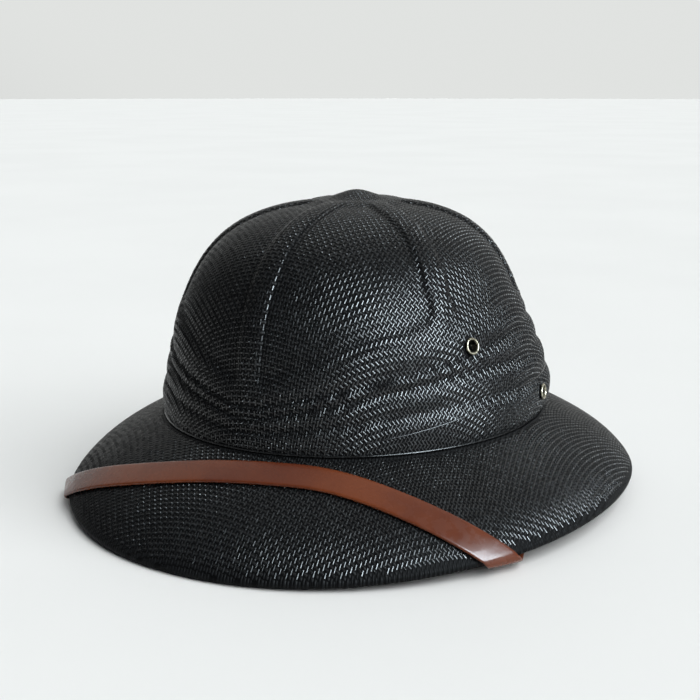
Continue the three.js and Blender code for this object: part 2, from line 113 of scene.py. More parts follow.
class HelmetShape(bpy.types.PropertyGroup):
    """Sizes of the hat"""
    brim_half_width: length_setting("Brim half width", "Half of the brim's width", BRIM_HALF_WIDTH)
    brim_front: length_setting("Brim front reach",
                               "From the crown's middle to the front of the brim", 0.155)
    brim_back: length_setting("Brim back reach", "From the crown's middle to the back of the brim", 0.162)
    brim_fullness: number_setting("Brim fullness", "Power of the brim's oval, 2 for an ellipse", 2.04)
    side_lift: length_setting("Side lift", "How far the rim rises at the sides", 0.0075)
    foot_height: length_setting("Foot height", "Height of the crown's foot above the floor", 0.0415)
    foot_slope: angle_setting("Foot slope", "Fall of the brim beside the crown", 26)
    rim_slope: angle_setting("Rim slope", "Fall of the brim at its edge", 55)
    rim_radius: length_setting("Rim radius", "Radius of the brim's turned edge", 0.0022)
    foot_lip: length_setting("Foot lip", "Height of the fine lip beside the crown's foot", 0.0005)
    hem_depth: length_setting("Hem depth", "Width of the turned edge under the brim", 0.009)
    crown_half_width: length_setting("Crown half width", "Half of the crown's width at its foot", 0.0943)
    crown_half_length: length_setting("Crown half length", "Half of the crown's length at its foot", 0.1037)
    button_rise: length_setting("Button rise", "Height of the button on the dome", 0.0036)
    button_radius: length_setting("Button radius", "Radius of the button", 0.018)
    straw_wall: length_setting("Straw wall", "Thickness of the straw", 0.002)
    clearance: length_setting("Clearance", "Gap between neighbouring pieces", 0.0003)
    neck_height: length_setting("Neck height", "Height of the brim's neck inside the crown", 0.003)
    band_height: length_setting("Band height", "Height of the pleated band at the sides", 0.0555)
    pleat_front: length_setting("Pleat depth in front", "Depth of the pleats at the front", 0.0012)
    pleat_back: length_setting("Pleat depth behind", "Depth of the pleats at the back", 0.0021)
    panel_depth: length_setting("Panel depth", "How far the panels lie below the ribs", 0.0014)
    panel_corner: length_setting("Panel corner", "Radius of the panels' lower corners", 0.005)
    rib_half_width: length_setting("Rib half width", "Half of a rib's width", 0.004)
    rib_flank: length_setting("Rib flank", "Width of a rib's sloping side", 0.0034)
    panel_foot: length_setting("Panel foot", "Width of the slope at a panel's lower edge", 0.0075)


class HelmetWeave(bpy.types.PropertyGroup):
    """Sizes of the weave"""
    pitch: length_setting("Strand pitch", "Distance between strands before the hat is moulded", 0.00205)
    turn: angle_setting("Weave turn", "How the strands lie to the hat's front", 2)
    width: length_setting("Strand width", "Width of a strand where it shows", 0.0008)
    rise: length_setting("Strand rise", "Height of a strand over the skin", 0.00022)
    reach: number_setting("Strand reach", "Length of a strand's float as a share of the pitch", 1.3)
    sway: number_setting("Strand sway", "How far the strands' backs lean at random, in radians", 0.06)
    unevenness: number_setting("Unevenness", "Share by which the floats' sizes differ", 0.12)
    seed: IntProperty(name="Seed", description="Seed of the weave's small differences", default=11)


class HelmetStrap(bpy.types.PropertyGroup):
    """Sizes of the chin strap"""
    width: length_setting("Strap width", "Width of the strap", 0.0135)
    thickness: length_setting("Strap thickness", "Thickness of the strap", 0.0015)
    middle_out: length_setting("Middle out", "From the crown to the strap's middle line", 0.011)
    middle_turn: angle_setting("Middle turn", "Bearing where the strap lies closest to the crown", 14)
    left_turn: angle_setting("Left turn", "Bearing where the strap crosses the rim on the left", 53.2)
    right_turn: angle_setting("Right turn", "Bearing where the strap crosses the rim on the right", -43.8)
    sweep: number_setting("Sweep", "Power with which the strap leaves the crown", 2.2)
    stand_off: length_setting("Stand-off", "Distance of the strap's middle from the rim", 0.0016)
    fold_turn: angle_setting("Fold", "How far the strap folds round the rim", 150)
    pad_turn: angle_setting("Pad turn", "Bearing of the strap's ends under the brim", 90)
    pad_out: length_setting("Pad out", "From the crown's foot to the strap's end", 0.010)
    pad_length: length_setting("Pad length", "Flat length at the strap's ends", 0.018)
    pad_seat: length_setting("Pad seat", "Gap between the strap's end and the brim", 0.0008)


class HelmetColours(bpy.types.PropertyGroup):
    """Colours of the finishes"""
    straw: colour_setting("Straw", "Colour of the paper straw", (0.0036, 0.0039, 0.0044))
    # The colour in the gaps is painted shade: the dark seen between the strands
    straw_gap_shade: colour_setting("Straw in the gaps", "Colour between the strands", (0.0015, 0.0015, 0.0018))
    leather: colour_setting("Leather", "Colour of the strap", (0.14, 0.034, 0.010))
    leather_dark: colour_setting("Dark leather", "Darker clouds in the strap", (0.093, 0.021, 0.008))
    brass: colour_setting("Brass", "Colour of the eyelets", (0.46, 0.42, 0.32))
    floor: colour_setting("Floor", "Colour of the floor", (0.76, 0.78, 0.78))


# Shape of the hat, worked out from its sizes: bearings are in radians and lengths in metres

def outwards(bearing):
    """Horizontal unit vectors at bearings."""
    return np.stack([np.sin(bearing), -np.cos(bearing), np.zeros_like(bearing)], -1)


def unit(vectors):
    """Vectors of length one."""
    return vectors / np.maximum(np.linalg.norm(vectors, axis=-1, keepdims=True), 1e-12)


def oval_radius(bearing, half_width, half_length, fullness):
    """Radius of an oval in plan."""
    across = np.abs(np.sin(bearing) / half_width) ** fullness
    along = np.abs(np.cos(bearing) / half_length) ** fullness
    return (across + along) ** (-1 / fullness)


def foot_radius(size, bearing):
    """Radius of the crown's foot."""
    return oval_radius(bearing, size.crown_half_width, size.crown_half_length, 2)


def rim_reach(size, bearing):
    """Radius of the brim's edge."""
    half_length = np.where(np.cos(bearing) > 0, size.brim_front, size.brim_back)
    return oval_radius(bearing, size.brim_half_width, half_length, size.brim_fullness)


def rim_height(size, bearing):
    """Lowest height of the brim's edge."""
    return size.side_lift * np.sin(bearing) ** 2


def crown_middle(size):
    """Place of the crown's middle along Y."""
    return (size.brim_front - size.brim_back) / 2


def place(size, bearing, radius, height):
    """Points from bearings, radii in plan and heights."""
    bearing, radius, height = np.broadcast_arrays(bearing, radius, height)
    points = outwards(bearing) * radius[..., None]
    points[..., 1] += crown_middle(size)
    points[..., 2] += height
    return points


def backness(bearing):
    """0 at the front and 1 at the back."""
    return (1 - np.cos(bearing)) / 2


def catmull_rom(rows, share):
    """Points of the smooth curve through rows, at shares of 0 to 1."""
    rows = np.concatenate([[2 * rows[0] - rows[1]], rows, [2 * rows[-1] - rows[-2]]])
    way = np.clip(share, 0, 1) * (len(rows) - 3)
    first = np.minimum(way.astype(int), len(rows) - 4)
    t = (way - first)[..., None]
    a, b, c, d = (rows[first + step] for step in range(4))
    slope_b = (c - a) / 2
    slope_c = (d - b) / 2
    return (b + slope_b * t + (3 * (c - b) - 2 * slope_b - slope_c) * t ** 2
            + (2 * (b - c) + slope_b + slope_c) * t ** 3)


PROFILE_SHARES = np.linspace(0, 1, 3001)
PROFILE_POINTS = catmull_rom(CROWN_PROFILE, PROFILE_SHARES)


def crown_rise(size):
    """Height from the crown's foot to the top of the dome."""
    return CROWN_TOP - size.button_rise - size.clearance - size.foot_height


def crown_share(size, height):
    """Share along the side view at heights above the foot."""
    return np.interp(height / crown_rise(size), PROFILE_POINTS[:, 2], PROFILE_SHARES)


def crown_height(size, share):
    """Height above the foot at shares along the side view."""
    return np.interp(share, PROFILE_SHARES, PROFILE_POINTS[:, 2]) * crown_rise(size)


def crown_point(size, bearing, share):
    """Outermost surface of the crown, before ribs and pleats."""
    bearing, share = np.broadcast_arrays(bearing, share)
    curve = catmull_rom(CROWN_PROFILE, share)
    back = backness(bearing)
    reach = curve[..., 0] * (1 - back) + curve[..., 1] * back
    height = size.foot_height + size.clearance + crown_rise(size) * curve[..., 2]
    return place(size, bearing, foot_radius(size, bearing) * reach, height)


def crown_normal(size, bearing, share):
    """Outward normals of that surface."""
    highest = 0.985
    step = 0.004
    share = np.clip(share, 0, highest)
    along = crown_point(size, bearing, share + step) - crown_point(size, bearing, np.maximum(share - step, 0))
    round_it = crown_point(size, bearing + step, share) - crown_point(size, bearing - step, share)
    return unit(np.cross(round_it, along))


def line_height(size, line, bearing):
    """Height of a pleat's top line above the foot."""
    side, front, dip_end = PLEAT_LINES[line]
    softness = 2
    power = 1.5
    turned = np.abs((np.degrees(bearing) + 180) % 360 - 180)
    dip = np.maximum(0, 1 - np.hypot(turned, softness) / dip_end) ** power
    return size.band_height * (side - (side - front) * dip)


def smooth_step(value):
    """Soft step from 0 to 1."""
    value = np.clip(value, 0, 1)
    return value * value * (3 - 2 * value)


def rib_distance(size, bearing, radius):
    """Distance in metres to the nearest rib's middle line."""
    turned = np.degrees(bearing)[..., None] - RIB_BEARINGS
    turned = np.abs((turned + 180) % 360 - 180).min(-1)
    return np.radians(turned) * radius


def panel_relief(size, bearing, share):
    """Depth of the sunk panels between the ribs: none in the band below them or on the button."""
    rib_widest_turn = math.radians(18)
    flank_widest_turn = math.radians(6)
    fade_out = 0.6 * size.button_radius
    crest_height = 0.0003
    points = crown_point(size, bearing, share)
    radius = np.hypot(points[..., 0], points[..., 1] - crown_middle(size))
    height = crown_height(size, share)
    half = np.minimum(size.rib_half_width, radius * rib_widest_turn)
    across = rib_distance(size, bearing, radius) - half
    above = (height - line_height(size, 0, bearing)) * size.rib_flank / size.panel_foot
    corner = size.panel_corner
    near = np.hypot(np.maximum(corner - across, 0), np.maximum(corner - above, 0))
    inside = np.where((across < corner) & (above < corner), corner - near, np.minimum(across, above))
    flank = np.minimum(size.rib_flank, radius * flank_widest_turn)
    button = smooth_step((radius - size.button_radius) / fade_out)
    crest = crest_height * np.clip(1 - (across + half) / half, 0, 1) * (above > 0)
    return (size.panel_depth * smooth_step(inside / np.maximum(flank, 1e-5)) - crest) * button


def pleat_section(down):
    """Depth of a pleat at a share of the way down it: a round shoulder, then nearly upright."""
    part = 0.75
    shoulder_end = 0.34
    shoulder_power = 1.6
    tail_start = 0.45
    tail_length = 0.62
    shoulder = part * np.clip(1 - down / shoulder_end, 0, 1) ** shoulder_power
    tail = part * smooth_step((down - tail_start) / tail_length)
    return shoulder + tail


def pleat_relief(size, bearing, share):
    """Depth of the pleats in the band at the crown's foot."""
    height = crown_height(size, share)
    depth = size.pleat_front + (size.pleat_back - size.pleat_front) * backness(bearing)
    relief = np.zeros(np.broadcast(bearing, share).shape)
    for line in range(len(PLEAT_LINES) - 1):
        top = line_height(size, line, bearing)
        low = line_height(size, line + 1, bearing)
        down = np.clip((top - height) / (top - low), 0, 1)
        here = (height < top) & (height >= low - 1e-9)
        section = pleat_section(down)
        if line == 0:
            section = np.where(down < 0.4, 0, section)
        if line == len(PLEAT_LINES) - 2:
            section = np.where(down > 0.4, 0, section)
        relief = np.where(here, section * depth, relief)
    return relief


def unevenness(points):
    """Small slow waves that a hand-moulded hat has, worked out in units of 60 mm."""
    height = 0.00022
    x, y, z = np.moveaxis(points * 1000 / 60, -1, 0)
    waves = np.sin(2.1 * x + 0.7 * z + 0.4) * np.sin(1.7 * y - 0.6 * z + 1.1)
    waves = waves + 0.6 * np.sin(4.3 * x - 2.2 * y + 1.9 * z + 2.0)
    return height * waves


def crown_surface(size, bearing, share, depth=0.0):
    """Crown with its button, ribs, panels and pleats, at a depth under its outer side."""
    bearing, share = np.broadcast_arrays(bearing, share)
    points = crown_point(size, bearing, share)
    out = np.hypot(points[..., 0], points[..., 1] - crown_middle(size)) / size.button_radius
    button = np.where(out < 1, 0.5 + 0.5 * np.cos(np.pi * np.minimum(out, 1)), 0)
    points[..., 2] += size.button_rise * button
    relief = panel_relief(size, bearing, share) + pleat_relief(size, bearing, share)
    relief = relief + depth - unevenness(points) * np.clip(crown_height(size, share) / 0.008, 0, 1)
    return points - crown_normal(size, bearing, share) * relief[..., None]


def brim_handles(size, bearing):
    """Four control points of the brim's side view, each as radius and height."""
    start = np.stack(np.broadcast_arrays(foot_radius(size, bearing), size.foot_height), -1)
    fall, steep = size.foot_slope, size.rim_slope
    radius = size.rim_radius
    end = np.stack([rim_reach(size, bearing) - radius, rim_height(size, bearing) + radius], -1)
    end = end + radius * np.array([math.sin(steep), math.cos(steep)])
    chord = np.linalg.norm(end - start, axis=-1, keepdims=True)
    foot_pull = 0.38
    rim_pull = 0.31
    leave = start + foot_pull * chord * np.array([math.cos(fall), -math.sin(fall)])
    arrive = end + rim_pull * chord * np.array([-math.cos(steep), math.sin(steep)])
    return start, leave, arrive, end


def brim_surface(size, bearing, share, depth=0.0):
    """Brim from the crown's foot to its turned edge, at a depth below its upper side."""
    bearing, share = np.broadcast_arrays(bearing, share)
    a, b, c, d = brim_handles(size, bearing)
    t = share[..., None]
    point = (1 - t) ** 3 * a + 3 * t * (1 - t) ** 2 * b + 3 * t * t * (1 - t) * c + t ** 3 * d
    slope = unit((1 - t) ** 2 * (b - a) + 2 * t * (1 - t) * (c - b) + t * t * (d - c))
    point = point + depth * np.stack([slope[..., 1], -slope[..., 0]], -1)
    points = place(size, bearing, point[..., 0], point[..., 1])
    points[..., 2] += unevenness(points) * np.clip(share / 0.1, 0, 1) * np.clip((1 - share) / 0.3, 0, 1)
    return points


def brim_normal(size, bearing, share):
    """Outward normals of the brim's upper side."""
    step = 0.004
    round_it = brim_surface(size, bearing + step, share) - brim_surface(size, bearing - step, share)
    inwards = brim_surface(size, bearing, share - step) - brim_surface(size, bearing, share + step)
    return unit(np.cross(round_it, inwards))


def rim_centre(size, bearing):
    """Middle of the turned edge's round."""
    return place(size, bearing, rim_reach(size, bearing) - size.rim_radius,
                 rim_height(size, bearing) + size.rim_radius)


# The straw cloth before moulding: a flat place is its distance from the dome's top, along a bearing

METER_STEP = 3.0
METER_BEARINGS = np.radians(np.arange(0, 361, METER_STEP))
METER_SHARES = np.linspace(0, 1, 401)


def lengths_down(points):
    """Length along each row of points from its start."""
    steps = np.linalg.norm(np.diff(points, axis=1), axis=-1)
    return np.concatenate([np.zeros((len(points), 1)), np.cumsum(steps, axis=1)], axis=1)


def stretched(distance, even=0.12, power=0.86):
    """Distances on the flat cloth, which the mould stretches more the farther they are from the top.
    The distance named even keeps its length."""
    return even * (distance / even) ** power


def flat_meters(size):
    """Flat distances from the dome's top down the crown, and on over the brim, at METER_BEARINGS."""
    bearing = METER_BEARINGS[:, None]
    crown = lengths_down(crown_point(size, bearing, 1 - METER_SHARES[None]))
    brim = lengths_down(brim_surface(size, bearing, METER_SHARES[None])) + crown[:, -1:]
    return stretched(crown), stretched(brim)


def meter_rows(meters, bearing):
    """The distances at bearings of their own, between those of METER_BEARINGS."""
    way = (np.degrees(bearing) % 360) / METER_STEP
    first = np.minimum(way.astype(int), len(METER_BEARINGS) - 2)
    part = (way - first)[:, None]
    return meters[first] * (1 - part) + meters[first + 1] * part


def flat_place(meters, bearing, share):
    """Flat places of points at bearings and at shares from the start of the meters."""
    shape = np.broadcast(bearing, share).shape
    bearing = np.broadcast_to(bearing, shape).ravel()
    share = np.broadcast_to(share, shape).ravel() * (len(METER_SHARES) - 1)
    rows = meter_rows(meters, bearing)
    first = np.minimum(share.astype(int), len(METER_SHARES) - 2)
    part = share - first
    index = np.arange(len(rows))
    distance = rows[index, first] * (1 - part) + rows[index, first + 1] * part
    return (outwards(bearing)[:, :2] * distance[:, None]).reshape(shape + (2,))


def share_at(meters, places):
    """Bearings and shares of flat places, with shares outside 0 to 1 as nan."""
    bearing = np.arctan2(places[:, 0], -places[:, 1]) % (2 * np.pi)
    distance = np.hypot(places[:, 0], places[:, 1])
    rows = meter_rows(meters, bearing)
    after = (rows < distance[:, None]).sum(1)
    inside = (after > 0) & (after < rows.shape[1])
    after = np.clip(after, 1, rows.shape[1] - 1)
    index = np.arange(len(rows))
    low, high = rows[index, after - 1], rows[index, after]
    share = (after - 1 + (distance - low) / (high - low)) / (rows.shape[1] - 1)
    return bearing, np.where(inside, share, np.nan)


# Meshes

def mesh_object(name, points, faces, places=None, smooth=True):
    """Object of a mesh, with flat places as its UV map where they are given."""
    mesh = bpy.data.meshes.new(name)
    mesh.from_pydata(points.tolist(), [], faces if isinstance(faces, list) else faces.tolist())
    if places is not None:
        layer = mesh.uv_layers.new(name="straw_cloth")
        corner = np.empty(len(mesh.loops), np.int32)
        mesh.loops.foreach_get("vertex_index", corner)
        layer.data.foreach_set("uv", places[corner].astype(np.float32).ravel())
    if smooth:
        mesh.shade_smooth()
    obj = bpy.data.objects.new(name, mesh)
    bpy.context.scene.collection.objects.link(obj)
    return obj


def ring_faces(ring_count, columns, closed=False):
    """Quads between rings of points, each below the one before on the outside."""
    rings = np.arange(ring_count if closed else ring_count - 1)
    a = (rings * columns)[:, None] + np.arange(columns)
    b = ((rings + 1) % ring_count * columns)[:, None] + np.arange(columns)
    nxt = (np.arange(columns) + 1) % columns
    return np.stack([a, b, b[:, nxt], a[:, nxt]], -1).reshape(-1, 4).tolist()


def skin_between_poles(name, first, rings, last, first_place, places, last_place):
    """Closed skin from one pole, over rings, to another pole."""
    columns = rings.shape[1]
    points = np.concatenate([[first], rings.reshape(-1, 3), [last]])
    flat = np.concatenate([[first_place], places.reshape(-1, 2), [last_place]])
    faces = [[corner + 1 for corner in face] for face in ring_faces(len(rings), columns)]
    low = 1 + (len(rings) - 1) * columns
    end = len(points) - 1
    for j in range(columns):
        following = (j + 1) % columns
        faces.append([0, 1 + j, 1 + following])
        faces.append([end, low + following, low + j])
    return mesh_object(name, points, faces, flat)


def apply_modifiers(piece):
    """Makes the shape that the piece's modifiers give its own mesh."""
    bpy.context.view_layer.update()
    graph = bpy.context.evaluated_depsgraph_get()
    mesh = bpy.data.meshes.new_from_object(piece.evaluated_get(graph))
    piece.modifiers.clear()
    piece.data = mesh


def settle(piece, slot, *nodes, material=None):
    """Gives a finished piece its material, and lets it ride on the hat and stand for its nodes."""
    if material is not None:
        piece.data.materials.clear()
        piece.data.materials.append(material)
    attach(piece, "root")
    if nodes:
        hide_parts(*nodes)
    return piece


# Shaders

class Sock:
    """A socket in a sum: its operators add Math nodes."""

    def __init__(self, shade, socket):
        self.shade, self.socket = shade, socket

    def math(self, operation, *others):
        return self.shade.node("ShaderNodeMath", {"operation": operation},
                               dict(enumerate((self,) + others)))

    def __add__(self, other):
        return self.math("ADD", other)

    def __sub__(self, other):
        return self.math("SUBTRACT", other)

    def __rsub__(self, other):
        return (self * -1).math("ADD", other)

    def __mul__(self, other):
        return self.math("MULTIPLY", other)

    def __truediv__(self, other):
        return self.math("DIVIDE", other)

    def __pow__(self, other):
        return self.math("POWER", other)

    __radd__ = __add__
    __rmul__ = __mul__

    def fraction(self):
        return self.math("FRACT")

    def floor(self):
        return self.math("FLOOR")

    def size(self):
        return self.math("ABSOLUTE")

    def above(self, other):
        return self.math("GREATER_THAN", other)

    def most(self, other):
        return self.math("MAXIMUM", other)

    def cosine(self):
        return self.math("COSINE")


class Shade:
    """A material's node tree, to which node() adds nodes."""

    def __init__(self, name):
        self.material = bpy.data.materials.new(name)
        self.material.use_nodes = True
        self.tree = self.material.node_tree
        self.tree.nodes.clear()

    def node(self, kind, settings=None, inputs=None, output=0):
        """A new node with its settings, then its sockets' values or links: gives its output."""
        made = self.tree.nodes.new(kind)
        for key, value in (settings or {}).items():
            if key == "ramp":
                while len(made.color_ramp.elements) < len(value):
                    made.color_ramp.elements.new(0.5)
                for element, (position, colour) in zip(made.color_ramp.elements, value):
                    element.position = position
                    element.color = colour
            else:
                setattr(made, key, value)
        for key, value in (inputs or {}).items():
            if isinstance(value, Sock):
                self.tree.links.new(value.socket, made.inputs[key])
            else:
                made.inputs[key].default_value = value
        return Sock(self, made.outputs[output]) if made.outputs else None

    def place(self, kind="Object"):
        return self.node("ShaderNodeTexCoord", output=kind)

    def noise(self, vector, scale, detail=3.0, rough=0.5):
        return self.node("ShaderNodeTexNoise", None,
                         {"Vector": vector, "Scale": scale, "Detail": detail, "Roughness": rough})

    def blend(self, factor, first, second):
        """Mix of two colours."""
        return self.node("ShaderNodeMix", {"data_type": "RGBA"}, {0: factor, 6: first, 7: second}, output=2)

    def spread(self, value, low, high, to_low, to_high):
        """A value moved from one range to another."""
        return self.node("ShaderNodeMapRange", {"interpolation_type": "SMOOTHSTEP"},
                         {0: value, 1: low, 2: high, 3: to_low, 4: to_high})

    def bump(self, height, strength, distance, normal=None):
        inputs = {"Height": height, "Strength": strength, "Distance": distance}
        if normal is not None:
            inputs["Normal"] = normal
        return self.node("ShaderNodeBump", None, inputs)

    def surface(self, **inputs):
        """Closes the tree with one Principled BSDF."""
        shader = self.node("ShaderNodeBsdfPrincipled", None,
                           {key.replace("_", " "): value for key, value in inputs.items()})
        self.node("ShaderNodeOutputMaterial", None, {"Surface": shader})
        return self.material


def rgba(colour):
    """Colour with full alpha."""
    return (*colour[:3], 1.0)


def strand_material(colours):
    """Glossy black paper strands, each a little different."""
    shade = Shade("straw_strand")
    place = shade.place()
    each = shade.noise(place, 330.0, 1.0)
    slow = shade.noise(place, 22.0, 3.0)
    tone = shade.spread(each + slow * 0.6, 0.55, 1.05, 0.0, 1.0)
    lighter = tuple(min(1, 2.0 * value) for value in colours.straw)
    darker = tuple(0.55 * value for value in colours.straw)
    colour = shade.blend(tone, rgba(darker), rgba(lighter))
    gloss = shade.spread(shade.noise(place, 420.0, 2.0), 0.35, 0.65, 0.16, 0.36)
    fibre = shade.bump(shade.noise(place, 2600.0, 2.0), 0.3, 0.0002)
    return shade.surface(Base_Color=colour, Roughness=gloss, Normal=fibre, Specular_IOR_Level=0.55)


def skin_material(colours, weave):
    """Woven skin: a plain weave in the straw cloth's own flat places, with painted shade in the gaps between
    the strands.
    """
    shade = Shade("straw_skin")
    cloth = shade.node("ShaderNodeUVMap", {"uv_map": "straw_cloth"})
    turned = shade.node("ShaderNodeMapping", None, {
        "Vector": cloth,
        "Rotation": (0.0, 0.0, -weave.turn),
        "Scale": (1 / weave.pitch, 1 / weave.pitch, 1.0),
    })
    split = shade.tree.nodes.new("ShaderNodeSeparateXYZ")
    shade.tree.links.new(turned.socket, split.inputs[0])
    u, v = Sock(shade, split.outputs[0]), Sock(shade, split.outputs[1])
    over = ((u.floor() + v.floor()) / 2).fraction().above(0.25)
    from_u = u.fraction() - 0.5
    from_v = v.fraction() - 0.5
    along = from_u * over + from_v * (1 - over)
    across = from_v * over + from_u * (1 - over)
    strand = (1 - (across.size() / 0.36) ** 2).most(0) ** 0.5
    height = strand * ((along * math.pi).cosine() * 0.6 + 0.4)
    grain = shade.noise(shade.place(), 1500.0, 2.0)
    # Painted shade: the colour is darkest in the gaps between the strands and paler on their tops
    tone = shade.spread(height, 0.1, 0.75, 0.0, 1.0)
    colour = shade.blend(tone, rgba(colours.straw_gap_shade), rgba(tuple(1.8 * c for c in colours.straw)))
    gloss = shade.spread(grain, 0.3, 0.7, 0.45, 0.62)
    normal = shade.bump(height + grain * 0.08, 0.8, 0.0006)
    return shade.surface(Base_Color=colour, Roughness=gloss, Normal=normal, Specular_IOR_Level=0.06)


def leather_material(colours):
    """Smooth polished leather with faint clouds and a fine grain."""
    shade = Shade("polished_leather")
    place = shade.place()
    cloud = shade.spread(shade.noise(place, 26.0, 4.0), 0.35, 0.68, 0.0, 1.0)
    colour = shade.blend(cloud, rgba(colours.leather), rgba(colours.leather_dark))
    pores = shade.node("ShaderNodeTexVoronoi", {"feature": "DISTANCE_TO_EDGE"},
                       {"Vector": place, "Scale": 1500.0})
    creases = shade.noise(place, 240.0, 4.0)
    gloss = shade.spread(creases, 0.3, 0.7, 0.20, 0.34)
    height = pores.math("MINIMUM", 0.18) * 1.2 + creases * 0.5
    normal = shade.bump(height, 0.12, 0.0003)
    return shade.surface(Base_Color=colour, Roughness=gloss, Normal=normal,
                         Specular_IOR_Level=0.2, Coat_Weight=0.25, Coat_Roughness=0.1)


def brass_material(colours):
    """Antique brass, darker where it isn't rubbed."""
    shade = Shade("antique_brass")
    place = shade.place()
    stain = shade.spread(shade.noise(place, 420.0, 4.0, 0.6), 0.38, 0.66, 0.0, 1.0)
    dark = tuple(0.42 * value for value in colours.brass)
    colour = shade.blend(stain, rgba(colours.brass), rgba(dark))
    gloss = shade.spread(shade.noise(place, 900.0, 3.0), 0.3, 0.7, 0.22, 0.45)
    normal = shade.bump(shade.noise(place, 1400.0, 3.0), 0.15, 0.0002)
    return shade.surface(Base_Color=colour, Metallic=1.0, Roughness=gloss, Normal=normal)


def floor_material(colours):
    """Matt pale floor with a barely visible mottle."""
    shade = Shade("pale_floor")
    mottle = shade.spread(shade.noise(shade.place(), 3.0, 3.0), 0.3, 0.7, 0.0, 1.0)
    paler = tuple(min(1, 1.03 * value) for value in colours.floor)
    colour = shade.blend(mottle, rgba(colours.floor), rgba(paler))
    return shade.surface(Base_Color=colour, Roughness=0.6, Specular_IOR_Level=0.2)


def shared_material(name, make, *values):
    """The material of that name, made at its first use."""
    return bpy.data.materials.get(name) or make(*values)


# Pieces

def column_bearings(size, radius, near=11, between=44):
    """Bearings of the skin's columns at a radius, close together over each rib."""
    rib_reach = 0.008
    widest_turn = math.radians(24)
    offsets = np.linspace(0, rib_reach, near + 1)
    turns = np.minimum(offsets / max(radius, 1e-4), offsets / rib_reach * widest_turn)
    bearings = []
    for index, degrees in enumerate(RIB_BEARINGS):
        following = RIB_BEARINGS[index + 1] if index + 1 < len(RIB_BEARINGS) else 360
        start, end = math.radians(degrees), math.radians(following)
        panel = np.linspace(start + turns[-1], end - turns[-1], between)
        bearings.extend([start + turns[:-1], panel, end - turns[:0:-1]])
    return np.concatenate(bearings)


def crown_rows(size):
    """Rows of points from the dome's top to the foot: the dome's, then those of each pleat, each with
    its share of the way down."""
    rows = []
    dome = np.concatenate([np.linspace(0.012, 0.9, 70), np.linspace(0.9, 1, 24)[1:]])
    for way in dome:
        rows.append(("dome", way))
    downs = np.concatenate([[0.008, 0.03, 0.07, 0.13, 0.2, 0.28], np.linspace(0.36, 0.97, 6)])
    for line in range(len(PLEAT_LINES) - 1):
        for down in downs:
            rows.append((line, down))
    rows.append((len(PLEAT_LINES) - 2, 1.0))
    return rows


def row_share(size, row, bearing):
    """Shares of one of those rows at bearings."""
    kind, way = row
    if kind == "dome":
        low = crown_share(size, line_height(size, 0, bearing))
        return 1 - (1 - low) * way
    top = line_height(size, kind, bearing)
    low = line_height(size, kind + 1, bearing)
    return crown_share(size, top + (low - top) * way)


def row_bearings(size, row):
    """Bearings of the columns in a row, worked out from its mean radius."""
    kind, way = row
    radius = size.crown_half_width
    if kind == "dome":
        share = 1 - (1 - crown_share(size, 0.75 * size.band_height)) * way
        radius = size.crown_half_width * catmull_rom(CROWN_PROFILE, np.array([share]))[0, 0]
    return column_bearings(size, radius)


def fold_ring(name, centres, radius, colours):
    """Fine rounded fold along a closed row of points."""
    ahead = unit(np.roll(centres, -1, axis=0) - np.roll(centres, 1, axis=0))
    side = unit(np.cross(ahead, (0, 0, 1)))
    sides = 8
    rings = []
    for angle in np.linspace(0, math.tau, sides, endpoint=False):
        rings.append(centres + radius * (side * math.cos(angle) + np.array([0, 0, math.sin(angle)])))
    fold = mesh_object(name, np.concatenate(rings), ring_faces(sides, len(centres), True))
    return settle(fold, "straw", material=shared_material("straw_strand", strand_material, colours))


def eyelet_seats(size):
    """Name, middle and outward normal of each eyelet."""
    seats = []
    for side, sign in SIDES:
        for name, degrees, height in EYELETS:
            bearing = np.array([math.radians(sign * degrees)])
            share = crown_share(size, np.array([height]))
            middle = crown_point(size, bearing, share)[0]
            seats.append((f"eyelet_{name}_{side}", middle, crown_normal(size, bearing, share)[0]))
    return seats


